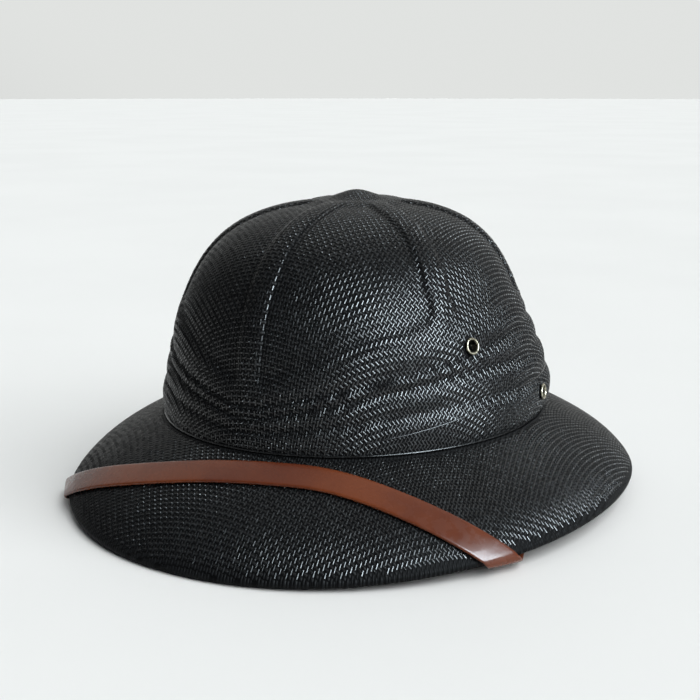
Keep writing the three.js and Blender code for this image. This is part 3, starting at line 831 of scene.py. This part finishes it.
class HELMET_OT_crown(bpy.types.Operator):
    """Builds the ribbed and pleated crown, hollow inside"""
    bl_idname = "helmet.crown"
    bl_label = "Crown"

    def execute(self, context):
        scene = context.scene
        size, weave, colours = scene.helmet_shape, scene.helmet_weave, scene.helmet_colours
        crown_meter, _ = flat_meters(size)
        rows = crown_rows(size)
        rings, places = [], []
        for depth, order in ((0.0, rows), (size.straw_wall, rows[::-1][::3])):
            for row in order:
                bearing = row_bearings(size, row)
                share = row_share(size, row, bearing)
                rings.append(crown_surface(size, bearing, share, depth))
                places.append(flat_place(crown_meter, bearing, 1 - share))
        top = place(size, 0.0, 0.0, CROWN_TOP)
        crown = skin_between_poles(
            "crown_skin", top, np.stack(rings), top - (0, 0, size.straw_wall),
            (0, 0), np.stack(places), (0, 0))
        self.drill(size, crown)
        settle(crown, "straw", "crown", material=shared_material("straw_skin", skin_material, colours, weave))
        self.folds(size, colours)
        return {"FINISHED"}

    def folds(self, size, colours):
        """Lays two fine folds: one along the crown's foot, one across the lowest pleat, where it sinks
        towards the front."""
        bearing = np.linspace(0, 2 * np.pi, 360, endpoint=False)
        foot_fold = 0.0005
        foot_out = 0.0003
        foot_up = 0.0007
        foot = place(size, bearing, foot_radius(size, bearing) + foot_out, size.foot_height + foot_up)
        fold_ring("crown_foot_fold", foot, foot_fold, colours)
        pleat_fold = 0.0003
        pleat_proud = 0.0001
        known_turn = 52
        known_share = 0.63
        climb = 0.0106
        lowest_share = 0.2
        turned = np.degrees(np.minimum(bearing, 2 * np.pi - bearing))
        share = np.clip(known_share + climb * (turned - known_turn), lowest_share, 1)
        height = line_height(size, len(PLEAT_LINES) - 2, bearing) * share
        line = crown_surface(size, bearing, crown_share(size, height), -pleat_proud)
        fold_ring("crown_pleat_fold", line, pleat_fold, colours)

    def drill(self, size, crown):
        """Cuts the eyelets' holes through the wall."""
        radius = 0.0035
        reach = 0.006
        sides = 24
        points, faces = [], []
        for _, middle, normal in eyelet_seats(size):
            turn = Vector((0, 0, 1)).rotation_difference(Vector(normal)).to_matrix()
            first = len(points)
            for end in (-reach, reach):
                for step in range(sides):
                    angle = math.tau * step / sides
                    spot = Vector((radius * math.cos(angle), radius * math.sin(angle), end))
                    points.append(Vector(middle) + turn @ spot)
            second = first + sides
            faces.append([first + step for step in range(sides - 1, -1, -1)])
            faces.append([second + step for step in range(sides)])
            for step in range(sides):
                following = (step + 1) % sides
                faces.append([first + step, first + following, second + following, second + step])
        cutter = mesh_object("eyelet_drill", np.array(points), faces, smooth=False)
        cut = crown.modifiers.new("eyelet_holes", "BOOLEAN")
        cut.operation = "DIFFERENCE"
        cut.solver = "EXACT"
        cut.object = cutter
        apply_modifiers(crown)
        bpy.data.objects.remove(cutter)


class HELMET_OT_brim(bpy.types.Operator):
    """Builds the drooping brim with its turned edge and its neck"""
    bl_idname = "helmet.brim"
    bl_label = "Brim"

    def execute(self, context):
        scene = context.scene
        size, weave, colours = scene.helmet_shape, scene.helmet_weave, scene.helmet_colours
        _, brim_meter = flat_meters(size)
        length = brim_meter[0, -1] - brim_meter[0, 0]
        bearing = np.linspace(0, 2 * np.pi, 420, endpoint=False)
        neck = self.neck(size, bearing)
        rows = [*neck[:-1], *self.upper_side(size, bearing, length), *self.turned_edge(size, bearing),
                *self.under_side(size, bearing, length), neck[-1]]
        rings = np.concatenate([ring for ring, _ in rows])
        flat = [flat_place(brim_meter, bearing, np.full_like(bearing, share)) for _, share in rows]
        faces = ring_faces(len(rows), len(bearing), True)
        brim = mesh_object("brim_skin", rings, faces, np.concatenate(flat))
        settle(brim, "straw", "brim", material=shared_material("straw_skin", skin_material, colours, weave))
        return {"FINISHED"}

    def neck(self, size, bearing):
        """Rings of the neck inside the crown, each with its share of the meters: inner top, outer top,
        outer foot and inner foot."""
        gap = 0.0007
        wall = 0.0019
        outer = foot_radius(size, bearing) - size.straw_wall - gap
        inner = outer - wall
        top = size.foot_height + size.clearance + size.neck_height
        low = size.foot_height - size.straw_wall / 2
        corners = ((inner, top), (outer, top), (outer, size.foot_height), (inner, low))
        return [(place(size, bearing, radius, height), 0.0) for radius, height in corners]

    def upper_side(self, size, bearing, length):
        """Rings from the crown's foot over the fine lip to the turned edge, and their shares."""
        lip_out = 0.0009
        lip_end = 0.0024
        lip_softness = 0.45
        rows = []
        for share in np.concatenate([np.linspace(0, lip_end, 9) / length, np.linspace(0.06, 1, 52)]):
            lip = size.foot_lip * math.exp(-((share * length / lip_out - 1) / lip_softness) ** 2)
            rows.append((brim_surface(size, bearing, share, -lip), share))
        return rows

    def turned_edge(self, size, bearing):
        """Rings round the brim's edge, and their shares."""
        rows = []
        for angle in np.linspace(size.rim_slope, math.pi + size.rim_slope, 13)[1:]:
            reach = rim_reach(size, bearing) + size.rim_radius * (math.sin(angle) - 1)
            height = rim_height(size, bearing) + size.rim_radius * (1 + math.cos(angle))
            rows.append((place(size, bearing, reach, height), 1.0))
        return rows

    def under_side(self, size, bearing, length):
        """Rings from the edge over the turned hem back to the crown's foot, and their shares."""
        hem_slope = 0.035
        hem = 1 - size.hem_depth / length
        thick = 2 * size.rim_radius
        depths = [(share, thick) for share in np.linspace(1, hem, 6)[1:]]
        for step, share in enumerate(np.linspace(hem, hem - hem_slope, 5)[1:]):
            depths.append((share, thick + (size.straw_wall - thick) * smooth_step((step + 1) / 4)))
        depths += [(share, size.straw_wall) for share in np.linspace(hem - hem_slope, 0, 26)[1:]]
        return [(brim_surface(size, bearing, share, depth), share) for share, depth in depths]


# Woven strands

def float_mesh():
    """One strand's float: a slim closed bead along X, one long, one wide and one high, whose back is
    rounded across and straight along."""
    points = [(-0.5, 0, -0.2)]
    for x in (-0.4, 0.4):
        points += [(x, -0.5, -0.2), (x, 0, 1), (x, 0.5, -0.2)]
    points.append((0.5, 0, -0.2))
    faces = [(0, 2, 1), (0, 3, 2), (0, 1, 3), (7, 4, 5), (7, 5, 6), (7, 6, 4),
             (1, 2, 5, 4), (2, 3, 6, 5), (3, 1, 4, 6)]
    bead = mesh_object("strand_float", np.array(points, float), [list(face) for face in faces])
    for edge in bead.data.edges:
        edge.use_edge_sharp = set(edge.vertices) != {2, 5}
    return bead


def strand_tree():
    """Geometry Nodes that lay one float on each point, along its strand."""
    tree = bpy.data.node_groups.new("woven_strands", "GeometryNodeTree")
    face = tree.interface
    face.new_socket("Geometry", in_out="INPUT", socket_type="NodeSocketGeometry")
    for name, kind in (("Float", "NodeSocketObject"), ("Strand Width", "NodeSocketFloat"),
                       ("Strand Rise", "NodeSocketFloat"), ("Reach", "NodeSocketFloat"),
                       ("Unevenness", "NodeSocketFloat"), ("Seed", "NodeSocketInt"),
                       ("Finish", "NodeSocketMaterial")):
        face.new_socket(name, in_out="INPUT", socket_type=kind)
    face.new_socket("Geometry", in_out="OUTPUT", socket_type="NodeSocketGeometry")

    def add(kind, inputs=None, **settings):
        made = tree.nodes.new(kind)
        for key, value in settings.items():
            setattr(made, key, value)
        for key, value in (inputs or {}).items():
            if isinstance(value, bpy.types.NodeSocket):
                tree.links.new(value, made.inputs[key])
            else:
                made.inputs[key].default_value = value
        return made

    def attribute(name, kind):
        return add("GeometryNodeInputNamedAttribute", {"Name": name}, data_type=kind).outputs["Attribute"]

    def maths(operation, a, b):
        return add("ShaderNodeMath", {0: a, 1: b}, operation=operation).outputs[0]

    given = tree.nodes.new("NodeGroupInput").outputs
    uneven = given["Unevenness"]

    def jitter(offset):
        low = maths("SUBTRACT", 1.0, uneven)
        high = maths("ADD", 1.0, uneven)
        seed = maths("ADD", given["Seed"], float(offset))
        return add("FunctionNodeRandomValue", {2: low, 3: high, "Seed": seed}, data_type="FLOAT").outputs[1]

    pieces = add("GeometryNodeObjectInfo", {"Object": given["Float"]}).outputs["Geometry"]
    along = add("FunctionNodeAlignRotationToVector", {"Vector": attribute("along", "FLOAT_VECTOR")}, axis="X")
    seated = add("FunctionNodeAlignRotationToVector",
                 {"Rotation": along.outputs[0], "Vector": attribute("outwards", "FLOAT_VECTOR")},
                 axis="Z", pivot_axis="X")
    length = maths("MULTIPLY", maths("MULTIPLY", attribute("length", "FLOAT"), given["Reach"]), jitter(1))
    width = maths("MULTIPLY", maths("MULTIPLY", given["Strand Width"], attribute("slim", "FLOAT")), jitter(2))
    rise = maths("MULTIPLY", given["Strand Rise"], jitter(3))
    scale = add("ShaderNodeCombineXYZ", {0: length, 1: width, 2: rise}).outputs[0]
    laid = add("GeometryNodeInstanceOnPoints", {"Points": given["Geometry"], "Instance": pieces,
                                                "Rotation": seated.outputs[0], "Scale": scale})
    real = add("GeometryNodeRealizeInstances", {"Geometry": laid.outputs[0]})
    done = add("GeometryNodeSetMaterial", {"Geometry": real.outputs[0], "Material": given["Finish"]})
    out = tree.nodes.new("NodeGroupOutput")
    tree.links.new(done.outputs[0], out.inputs[0])
    return tree


def crossings(weave, reach):
    """All crossings within a distance of the dome's top: flat places, the directions of the strand on
    top and of the other one, and whether the one on top is a warp strand."""
    count = int(reach / weave.pitch) + 2
    i, j = np.meshgrid(np.arange(-count, count), np.arange(-count, count), indexing="ij")
    i, j = i.ravel(), j.ravel()
    cos, sin = math.cos(weave.turn), math.sin(weave.turn)
    first = np.array([cos, sin]) * weave.pitch
    second = np.array([-sin, cos]) * weave.pitch
    places = (i[:, None] + 0.5) * first + (j[:, None] + 0.5) * second
    over = ((i + j) % 2) == 1
    near = np.hypot(places[:, 0], places[:, 1]) < reach
    direction = np.where(over[:, None], first, second)
    other = np.where(over[:, None], second, first)
    return places[near], direction[near], other[near], over[near]


def strand_frames(surface, meters, places, direction, other, weave):
    """Middles of the floats that lie wholly on a surface, and how each lies there: along its strand,
    outwards, how long it is and how slim."""
    def at(spots):
        bearing, share = share_at(meters, spots)
        return surface(bearing, np.nan_to_num(share, nan=0.5)), share

    step = 0.4
    fullness, slimmest, widest = 1.25, 0.6, 1.1
    hat_middle = np.array([0, 0, 0.02])
    middle, share = at(places)
    ahead, share_a = at(places + direction * step)
    behind, share_b = at(places - direction * step)
    beside, share_c = at(places + other * step)
    opposite, share_d = at(places - other * step)
    whole = np.isfinite(share + share_a + share_b + share_c + share_d)
    along = (ahead - behind) / (2 * step)
    across = (beside - opposite) / (2 * step)
    normal = unit(np.cross(along, across))
    flip = (normal * (middle - hat_middle)).sum(1) < 0
    normal[flip] *= -1
    chance = np.random.default_rng(weave.seed + len(places))
    normal = unit(normal + weave.sway * chance.normal(size=normal.shape))
    length = np.linalg.norm(along, axis=1)
    area = np.linalg.norm(np.cross(along, across), axis=1)
    room = area / np.maximum(length, 1e-9)
    slim = np.clip(room / weave.pitch * fullness, slimmest, widest)
    frames = {"along": along, "outwards": normal, "length": length, "slim": slim}
    return middle[whole], {label: values[whole] for label, values in frames.items()}


def lay_strands(name, surface, meters, places, direction, other, weave, colours):
    """Piece with a float at each flat place on a surface."""
    middles, frames = strand_frames(surface, meters, places, direction, other, weave)
    bed = mesh_object(name, middles, [], smooth=False)
    for label, values in frames.items():
        kind, field = ("FLOAT_VECTOR", "vector") if values.ndim == 2 else ("FLOAT", "value")
        layer = bed.data.attributes.new(label, kind, "POINT")
        layer.data.foreach_set(field, values.astype(np.float32).ravel())
    tree = bpy.data.node_groups.get("woven_strands") or strand_tree()
    modifier = bed.modifiers.new("strands", "NODES")
    modifier.node_group = tree
    sample = float_mesh()
    values = {"Float": sample, "Strand Width": weave.width, "Strand Rise": weave.rise, "Reach": weave.reach,
              "Unevenness": weave.unevenness, "Seed": weave.seed,
              "Finish": shared_material("straw_strand", strand_material, colours)}
    for item in tree.interface.items_tree:
        if item.in_out == "INPUT" and item.name in values:
            modifier[item.identifier] = values[item.name]
    apply_modifiers(bed)
    bed.data.shade_smooth()
    bpy.data.objects.remove(sample)
    return settle(bed, "straw")


class HELMET_OT_strands(bpy.types.Operator):
    """Lays the visible floats of the woven strands over crown and brim"""
    bl_idname = "helmet.strands"
    bl_label = "Woven strands"

    def execute(self, context):
        scene = context.scene
        size, strap = scene.helmet_shape, scene.helmet_strap
        weave, colours = scene.helmet_weave, scene.helmet_colours
        crown_meter, brim_meter = flat_meters(size)
        places, direction, other, warp = crossings(weave, brim_meter.max())
        parts = (
            ("crown", lambda b, s: crown_surface(size, b, 1 - s), crown_meter,
             self.on_crown(size, crown_meter, places)),
            ("brim", lambda b, s: brim_surface(size, b, s), brim_meter,
             self.on_brim(size, strap, brim_meter, places)),
        )
        for part, surface, meter, shown in parts:
            for thread, strands in (("warp", shown & warp), ("weft", shown & ~warp)):
                lay_strands(f"{part}_{thread}", surface, meter, places[strands], direction[strands],
                            other[strands], weave, colours)
        return {"FINISHED"}

    def on_crown(self, size, crown_meter, places):
        """Which places lie on the crown, clear of its ends and of the eyelets."""
        first, last = 0.004, 0.992
        eyelet_clear = 0.0047
        bearing, share = share_at(crown_meter, places)
        shown = np.isfinite(share) & (share < last) & (share > first)
        middles = crown_point(size, bearing, 1 - np.nan_to_num(share))
        for _, middle, _ in eyelet_seats(size):
            shown &= np.linalg.norm(middles - middle, axis=1) > eyelet_clear
        return shown

    def on_brim(self, size, strap, brim_meter, places):
        """Which places lie on the brim, clear of its edges and of the strap."""
        first, last = 0.03, 0.955
        strap_clear = 0.36 * strap.width
        bearing, share = share_at(brim_meter, places)
        shown = np.isfinite(share) & (share > first) & (share < last)
        middles = brim_surface(size, bearing, np.nan_to_num(share))
        for spot in top_stations(size, strap)[::2]:
            shown &= np.linalg.norm(middles - spot["middle"], axis=1) > strap_clear
        return shown


# Chin strap

def strap_bearing(strap, way):
    """Bearing of the strap's middle line at a way of -1 to 1 between its crossings of the rim."""
    crossing = strap.right_turn if way < 0 else strap.left_turn
    return strap.middle_turn + (crossing - strap.middle_turn) * abs(way)


def share_at_reach(size, bearing, reach):
    """Share of the brim's section at a radius."""
    shares = np.linspace(0, 1, 400)
    points = brim_surface(size, np.full(len(shares), bearing), shares)
    return float(np.interp(reach, np.hypot(points[:, 0], points[:, 1] - crown_middle(size)), shares))


def strap_on_brim(size, strap, way):
    """Middle and normal of the strap where it lies on the brim."""
    air = 0.00015
    lift_power = 4
    bearing = strap_bearing(strap, way)
    foot = float(foot_radius(size, strap.middle_turn))
    close = share_at_reach(size, strap.middle_turn, foot + strap.middle_out)
    share = close + (1 - close) * abs(way) ** strap.sweep
    normal = brim_normal(size, bearing, share)
    low = size.clearance + strap.thickness / 2 + air
    lift = low + (strap.stand_off - low) * abs(way) ** lift_power
    return brim_surface(size, bearing, share) + normal * lift, normal


def rim_tangent(size, bearing):
    """Direction of the rim at a bearing."""
    step = 0.02
    return unit(rim_centre(size, bearing - step) - rim_centre(size, bearing + step))


def turned_along(vector, guide):
    """The vector, reversed where it points against the guide."""
    return -vector if vector @ guide < 0 else vector


def station(strap, middle, normal, along, skewed):
    """A straight line across the strap, leaning as skewed does, that keeps the strap's width."""
    square = unit(np.cross(normal, along))
    line = turned_along(unit(skewed - normal * (skewed @ normal)), square)
    return {"middle": middle, "normal": normal, "line": line * (strap.width / 2 / (line @ square))}


def pad_place(size, strap, side, along):
    """Place under the brim where the strap's end lies flat."""
    bearing = side * strap.pad_turn
    share = share_at_reach(size, bearing, float(foot_radius(size, bearing)) + strap.pad_out)
    normal = -brim_normal(size, bearing, share)
    low = size.straw_wall + strap.pad_seat + strap.thickness / 2
    point = brim_surface(size, bearing, share) + normal * low
    return point + np.array([0, along, 0]), normal


def top_stations(size, strap, steps=60):
    """Stations over the brim, square to the strap in its middle and in line with the rim at its ends."""
    stations = []
    for step in range(steps + 1):
        way = 2 * step / steps - 1
        middle, normal = strap_on_brim(size, strap, way)
        ahead, _ = strap_on_brim(size, strap, min(way + 0.01, 1.01))
        behind, _ = strap_on_brim(size, strap, way - 0.01)
        along = unit(ahead - behind)
        square = unit(np.cross(normal, along))
        lean = float(smooth_step((abs(way) - 0.45) / 0.55))
        rim = turned_along(rim_tangent(size, strap_bearing(strap, 1 if way >= 0 else -1)), square)
        stations.append(station(strap, middle, normal, along, square * (1 - lean) + rim * lean))
    return stations


def end_stations(size, strap, side, start):
    """Stations round the rim and under the brim to the strap's end."""
    bearing = strap_bearing(strap, side)
    centre = rim_centre(size, bearing)
    tangent = rim_tangent(size, bearing)
    outside = turned_along(unit(np.cross(tangent, (0, 0, 1))), outwards(bearing))
    up = np.array([0, 0, 1.0])
    radius = size.rim_radius + strap.stand_off
    before, _ = strap_on_brim(size, strap, side * 0.99)
    along = unit(start["middle"] - before)
    drift = (along @ tangent) / math.sqrt(1 - (along @ tangent) ** 2)
    stations = []
    bends = 18
    for step in range(1, bends + 1):
        turned = strap.fold_turn * step / bends
        angle = size.rim_slope + turned
        normal = outside * math.sin(angle) + up * math.cos(angle)
        travel = unit(outside * math.cos(angle) - up * math.sin(angle) + tangent * drift)
        middle = centre + normal * radius + tangent * (drift * radius * turned)
        stations.append(station(strap, middle, normal, travel, tangent))
    last = stations[-1]
    pad, pad_normal = pad_place(size, strap, side, -strap.pad_length / 2)
    run = unit(pad - last["middle"])
    pad_line = turned_along(unit(np.cross(pad_normal, (0, 1, 0))), last["line"])
    for way in np.linspace(0, 1, 9)[1:-1]:
        middle = last["middle"] * (1 - way) + pad * way
        normal = unit(last["normal"] * (1 - way) + pad_normal * way)
        skewed = unit(last["line"]) * (1 - way) + pad_line * way
        stations.append(station(strap, middle, normal, run, skewed))
    for way in np.linspace(-0.5, 0.5, 5):
        point, normal = pad_place(size, strap, side, way * strap.pad_length)
        stations.append(station(strap, point, normal, np.array([0, 1.0, 0]), pad_line))
    return stations


def strap_route(size, strap):
    """All stations from the right end, over the brim, to the left end."""
    top = top_stations(size, strap)
    right = end_stations(size, strap, -1, top[0])[::-1]
    stations = right + top + end_stations(size, strap, 1, top[-1])
    for before, now in zip(stations, stations[1:]):
        square = np.cross(now["normal"], now["middle"] - before["middle"])
        now["line"] = turned_along(now["line"], square)
    first, second = stations[:2]
    square = np.cross(first["normal"], second["middle"] - first["middle"])
    first["line"] = turned_along(first["line"], square)
    return stations


def soften(values, rounds):
    """Values along the strap, evened out with their neighbours, ends kept."""
    for _ in range(rounds):
        values = np.concatenate([values[:1], (values[:-2] + 2 * values[1:-1] + values[2:]) / 4, values[-1:]])
    return values


class HELMET_OT_strap(bpy.types.Operator):
    """Builds the leather chin strap, folded round the rim at both ends"""
    bl_idname = "helmet.strap"
    bl_label = "Chin strap"

    def execute(self, context):
        scene = context.scene
        size, strap, colours = scene.helmet_shape, scene.helmet_strap, scene.helmet_colours
        stations = strap_route(size, strap)
        middles = np.array([spot["middle"] for spot in stations])
        normals = soften(np.array([spot["normal"] for spot in stations]), 3)
        lines = soften(np.array([spot["line"] for spot in stations]), 3)
        distance = np.concatenate([[0], np.cumsum(np.linalg.norm(np.diff(middles, axis=0), axis=1))])
        count = 420
        wanted = np.linspace(0, distance[-1], count)
        fine = [np.stack([np.interp(wanted, distance, values[:, axis]) for axis in range(3)], -1)
                for values in (middles, normals, lines)]
        middles, normals, lines = soften(fine[0], 2), unit(fine[1]), fine[2]
        section = self.section(strap)
        half_width = np.linalg.norm(lines, axis=1, keepdims=True)
        across = lines / half_width
        rings = (middles[:, None] + across[:, None] * (section[:, 0] * half_width)[..., None]
                 + normals[:, None] * section[:, 1][None, :, None])
        around = len(section)
        faces = ring_faces(count, around)
        faces.append(list(range(around)))
        faces.append([(count - 1) * around + step for step in range(around - 1, -1, -1)])
        belt = mesh_object("chin_strap_leather", rings.reshape(-1, 3), faces)
        self.turn_out(belt)
        leather = shared_material("polished_leather", leather_material, colours)
        settle(belt, "leather", "chin_strap", material=leather)
        return {"FINISHED"}

    def section(self, strap):
        """Outline across the strap: shares of its half width, and heights with rounded, worn edges."""
        half = strap.thickness / 2
        edge_depth = 1.1
        camber = 0.00012
        rows = []
        for angle in np.linspace(-0.5, 0.5, 7) * math.pi:
            worn = (1 - math.cos(angle)) * half / (strap.width / 2) * edge_depth
            rows.append((1 - worn, half * math.sin(angle)))
        crown = [(share, half + camber * (1 - share ** 2)) for share in (0.8, 0.5, 0.2, -0.2, -0.5, -0.8)]
        left = [(-share, -height) for share, height in rows]
        under = [(share, -half) for share in (-0.6, 0.0, 0.6)]
        return np.array(rows + crown + left + under)

    def turn_out(self, belt):
        """Turns the faces outwards where the strap's sides came out swapped."""
        shape = bmesh.new()
        shape.from_mesh(belt.data)
        bmesh.ops.recalc_face_normals(shape, faces=shape.faces)
        shape.to_mesh(belt.data)
        shape.free()
        belt.data.shade_smooth()


# Turned trim

def lathe(profile, middle, normal, sides=48):
    """Points and faces of a closed turned body: profile rows are radius and height along the normal."""
    turn = Vector((0, 0, 1)).rotation_difference(Vector(normal)).to_matrix()
    spot = Matrix.Translation(Vector(middle)) @ turn.to_4x4()
    profile = np.array(profile)
    angle = np.linspace(0, math.tau, sides, endpoint=False)
    rings = np.stack([np.stack([radius * np.cos(angle), radius * np.sin(angle), np.full(sides, height)], -1)
                      for radius, height in profile])
    points = rings.reshape(-1, 3) @ np.array(spot.to_3x3()).T + np.array(spot.translation)
    return points, ring_faces(len(profile), sides, True)


class HELMET_OT_eyelets(bpy.types.Operator):
    """Builds the four brass eyelets"""
    bl_idname = "helmet.eyelets"
    bl_label = "Eyelets"

    def execute(self, context):
        size, colours = context.scene.helmet_shape, context.scene.helmet_colours
        outer, hole, barrel, back_radius = 0.004, 0.0028, 0.0032, 0.0041
        front, rise = 0.0003, 0.0009
        spare = 0.0009
        washer, tube_end, flare_end, flare_out = 0.0006, 0.001, 0.0012, 0.0008
        back = -(size.straw_wall + size.pleat_back / 2 + spare)
        roll = [((outer + hole) / 2 + (outer - hole) / 2 * math.cos(angle), front + rise * math.sin(angle))
                for angle in np.linspace(0, math.pi, 12)]
        profile = roll + [(hole, back - tube_end), (hole + flare_out, back - flare_end),
                          (back_radius, back - washer), (back_radius, back), (barrel, back), (barrel, front)]
        for name, middle, normal in eyelet_seats(size):
            points, faces = lathe(profile[::-1], middle, normal)
            ring = mesh_object(name + "_brass", points, faces)
            settle(ring, "brass", name, material=shared_material("antique_brass", brass_material, colours))
        return {"FINISHED"}


class HELMET_OT_studs(bpy.types.Operator):
    """Builds the plain studs that hold the strap's ends under the brim"""
    bl_idname = "helmet.studs"
    bl_label = "Strap studs"

    def execute(self, context):
        scene = context.scene
        size, strap, colours = scene.helmet_shape, scene.helmet_strap, scene.helmet_colours
        top = -strap.thickness / 2 - strap.pad_seat + size.clearance
        head = strap.thickness / 2 + size.clearance
        radius, shank, rise = 0.0036, 0.0016, 0.0012
        nearly_closed = 0.00002
        dome = [(radius * math.cos(angle), head + rise * math.sin(angle))
                for angle in np.linspace(0, 0.497, 10) * math.pi]
        profile = [(nearly_closed, top), (shank, top), (shank, head), *dome]
        for side, sign in SIDES:
            point, normal = pad_place(size, strap, sign, 0.0)
            points, faces = lathe(profile, point, normal, 32)
            stud = mesh_object(f"strap_stud_{side}_brass", points, faces)
            brass = shared_material("antique_brass", brass_material, colours)
            settle(stud, "brass", f"strap_stud_{side}", material=brass)
        return {"FINISHED"}


# Stage

def direction_to(bearing, rise):
    """Unit vector from the hat towards a bearing and an elevation in degrees."""
    turn, lift = math.radians(bearing), math.radians(rise)
    return Vector((math.sin(turn) * math.cos(lift), -math.cos(turn) * math.cos(lift), math.sin(lift)))


class HELMET_OT_stage(bpy.types.Operator):
    """Lays the floor, hangs the lights and sets the camera"""
    bl_idname = "helmet.stage"
    bl_label = "Stage"

    def execute(self, context):
        colours = context.scene.helmet_colours
        floor_radius = 14
        sides = 96
        angle = np.linspace(0, math.tau, sides, endpoint=False)
        edge = floor_radius * np.stack([np.cos(angle), np.sin(angle), np.zeros(sides)], -1)
        floor = mesh_object("floor", edge, [list(range(sides))], smooth=False)
        floor.data.materials.append(shared_material("pale_floor", floor_material, colours))
        self.room(context)
        self.window()
        self.fill()
        self.camera(context)
        context.scene.view_settings.view_transform = "Standard"
        return {"FINISHED"}

    def room(self, context):
        """Soft light all round: pale high behind the hat, dim on the camera's side."""
        world = bpy.data.worlds.new("pale_studio")
        world.use_nodes = True
        tree = world.node_tree
        way = tree.nodes.new("ShaderNodeTexCoord")
        facing = tree.nodes.new("ShaderNodeVectorMath")
        facing.operation = "DOT_PRODUCT"
        facing.inputs[1].default_value = direction_to(200, 34)
        tree.links.new(way.outputs["Generated"], facing.inputs[0])
        spread = tree.nodes.new("ShaderNodeMapRange")
        spread.interpolation_type = "SMOOTHSTEP"
        spread.inputs["From Min"].default_value = 0.35
        spread.inputs["From Max"].default_value = 0.80
        tree.links.new(facing.outputs["Value"], spread.inputs["Value"])
        tone = tree.nodes.new("ShaderNodeMix")
        tone.data_type = "RGBA"
        tone.inputs[6].default_value = (0.045, 0.047, 0.05, 1)
        tone.inputs[7].default_value = (0.75, 0.765, 0.75, 1)
        tree.links.new(spread.outputs["Result"], tone.inputs[0])
        tree.links.new(tone.outputs[2], tree.nodes["Background"].inputs["Color"])
        context.scene.world = world

    def aim(self, lamp, bearing, rise, distance):
        """Hangs a lamp at a bearing, an elevation and a distance, shining at the hat."""
        hat_middle = Vector((0, 0, 0.08))
        way = direction_to(bearing, rise)
        lamp.location = way * distance + hat_middle
        lamp.rotation_euler = way.to_track_quat("Z", "Y").to_euler()
        bpy.context.scene.collection.objects.link(lamp)

    def window(self):
        """Window on the picture's right, seen only as glints in the straw, leather and brass."""
        data = bpy.data.lights.new("window", "AREA")
        data.shape = "RECTANGLE"
        data.size, data.size_y = 0.75, 0.95
        data.energy = 80
        data.color = (0.80, 0.92, 1.0)
        lamp = bpy.data.objects.new("window", data)
        lamp.visible_diffuse = False
        self.aim(lamp, 77, 25, 1.6)

    def fill(self):
        """Soft daylight from high on the picture's right, which casts the shadow and makes no glints."""
        data = bpy.data.lights.new("daylight", "SUN")
        data.angle = math.radians(70)
        data.energy = 3.7
        lamp = bpy.data.objects.new("daylight", data)
        lamp.visible_glossy = False
        self.aim(lamp, 86, 44, 2.0)

    def camera(self, context):
        """Camera at the photograph's angle: 29.6 degrees round and 13.8 degrees up."""
        image_width, focal_pixels, sensor = 700, 1201.6, 36.0
        middle_x, middle_y = 356.28, 376.60
        distance = 0.6238
        target = Vector((0, -0.0035, 0.0535))
        data = bpy.data.cameras.new("camera")
        data.sensor_width = sensor
        data.lens = focal_pixels * sensor / image_width
        data.shift_x = (image_width / 2 - middle_x) / image_width
        data.shift_y = (middle_y - image_width / 2) / image_width
        data.clip_start = 0.01
        data.clip_end = 60
        camera = bpy.data.objects.new("camera", data)
        way = direction_to(29.56, 13.83)
        camera.location = target + way * distance
        camera.rotation_euler = way.to_track_quat("Z", "Y").to_euler()
        context.scene.collection.objects.link(camera)
        context.scene.camera = camera


class HELMET_PT_panel(bpy.types.Panel):
    """Sizes, colours and pieces of the hat"""
    bl_idname = "HELMET_PT_panel"
    bl_label = "Straw Pith Helmet"
    bl_space_type = "VIEW_3D"
    bl_region_type = "UI"
    bl_category = "Helmet"

    def draw(self, context):
        layout = self.layout
        for group in ("helmet_shape", "helmet_weave", "helmet_strap", "helmet_colours"):
            values = getattr(context.scene, group)
            box = layout.box()
            for name in values.__annotations__:
                box.prop(values, name)
        for operator in OPERATORS:
            layout.operator(operator.bl_idname)


GROUPS = (("helmet_shape", HelmetShape), ("helmet_weave", HelmetWeave), ("helmet_strap", HelmetStrap),
          ("helmet_colours", HelmetColours))
OPERATORS = (HELMET_OT_stage, HELMET_OT_crown, HELMET_OT_brim, HELMET_OT_strands, HELMET_OT_strap,
             HELMET_OT_eyelets, HELMET_OT_studs)


def register():
    """Adds the classes and their settings."""
    for name, group in GROUPS:
        bpy.utils.register_class(group)
        setattr(bpy.types.Scene, name, PointerProperty(type=group))
    for kind in (*OPERATORS, HELMET_PT_panel):
        bpy.utils.register_class(kind)


def unregister():
    """Takes them away again."""
    for kind in (HELMET_PT_panel, *reversed(OPERATORS)):
        bpy.utils.unregister_class(kind)
    for name, group in reversed(GROUPS):
        delattr(bpy.types.Scene, name)
        bpy.utils.unregister_class(group)


def main():
    """Builds the hat and its stage."""
    register()
    bpy.ops.helmet.stage()
    bpy.ops.helmet.crown()
    bpy.ops.helmet.brim()
    bpy.ops.helmet.strands()
    bpy.ops.helmet.strap()
    bpy.ops.helmet.eyelets()
    bpy.ops.helmet.studs()


if __name__ == "__main__":
    main()
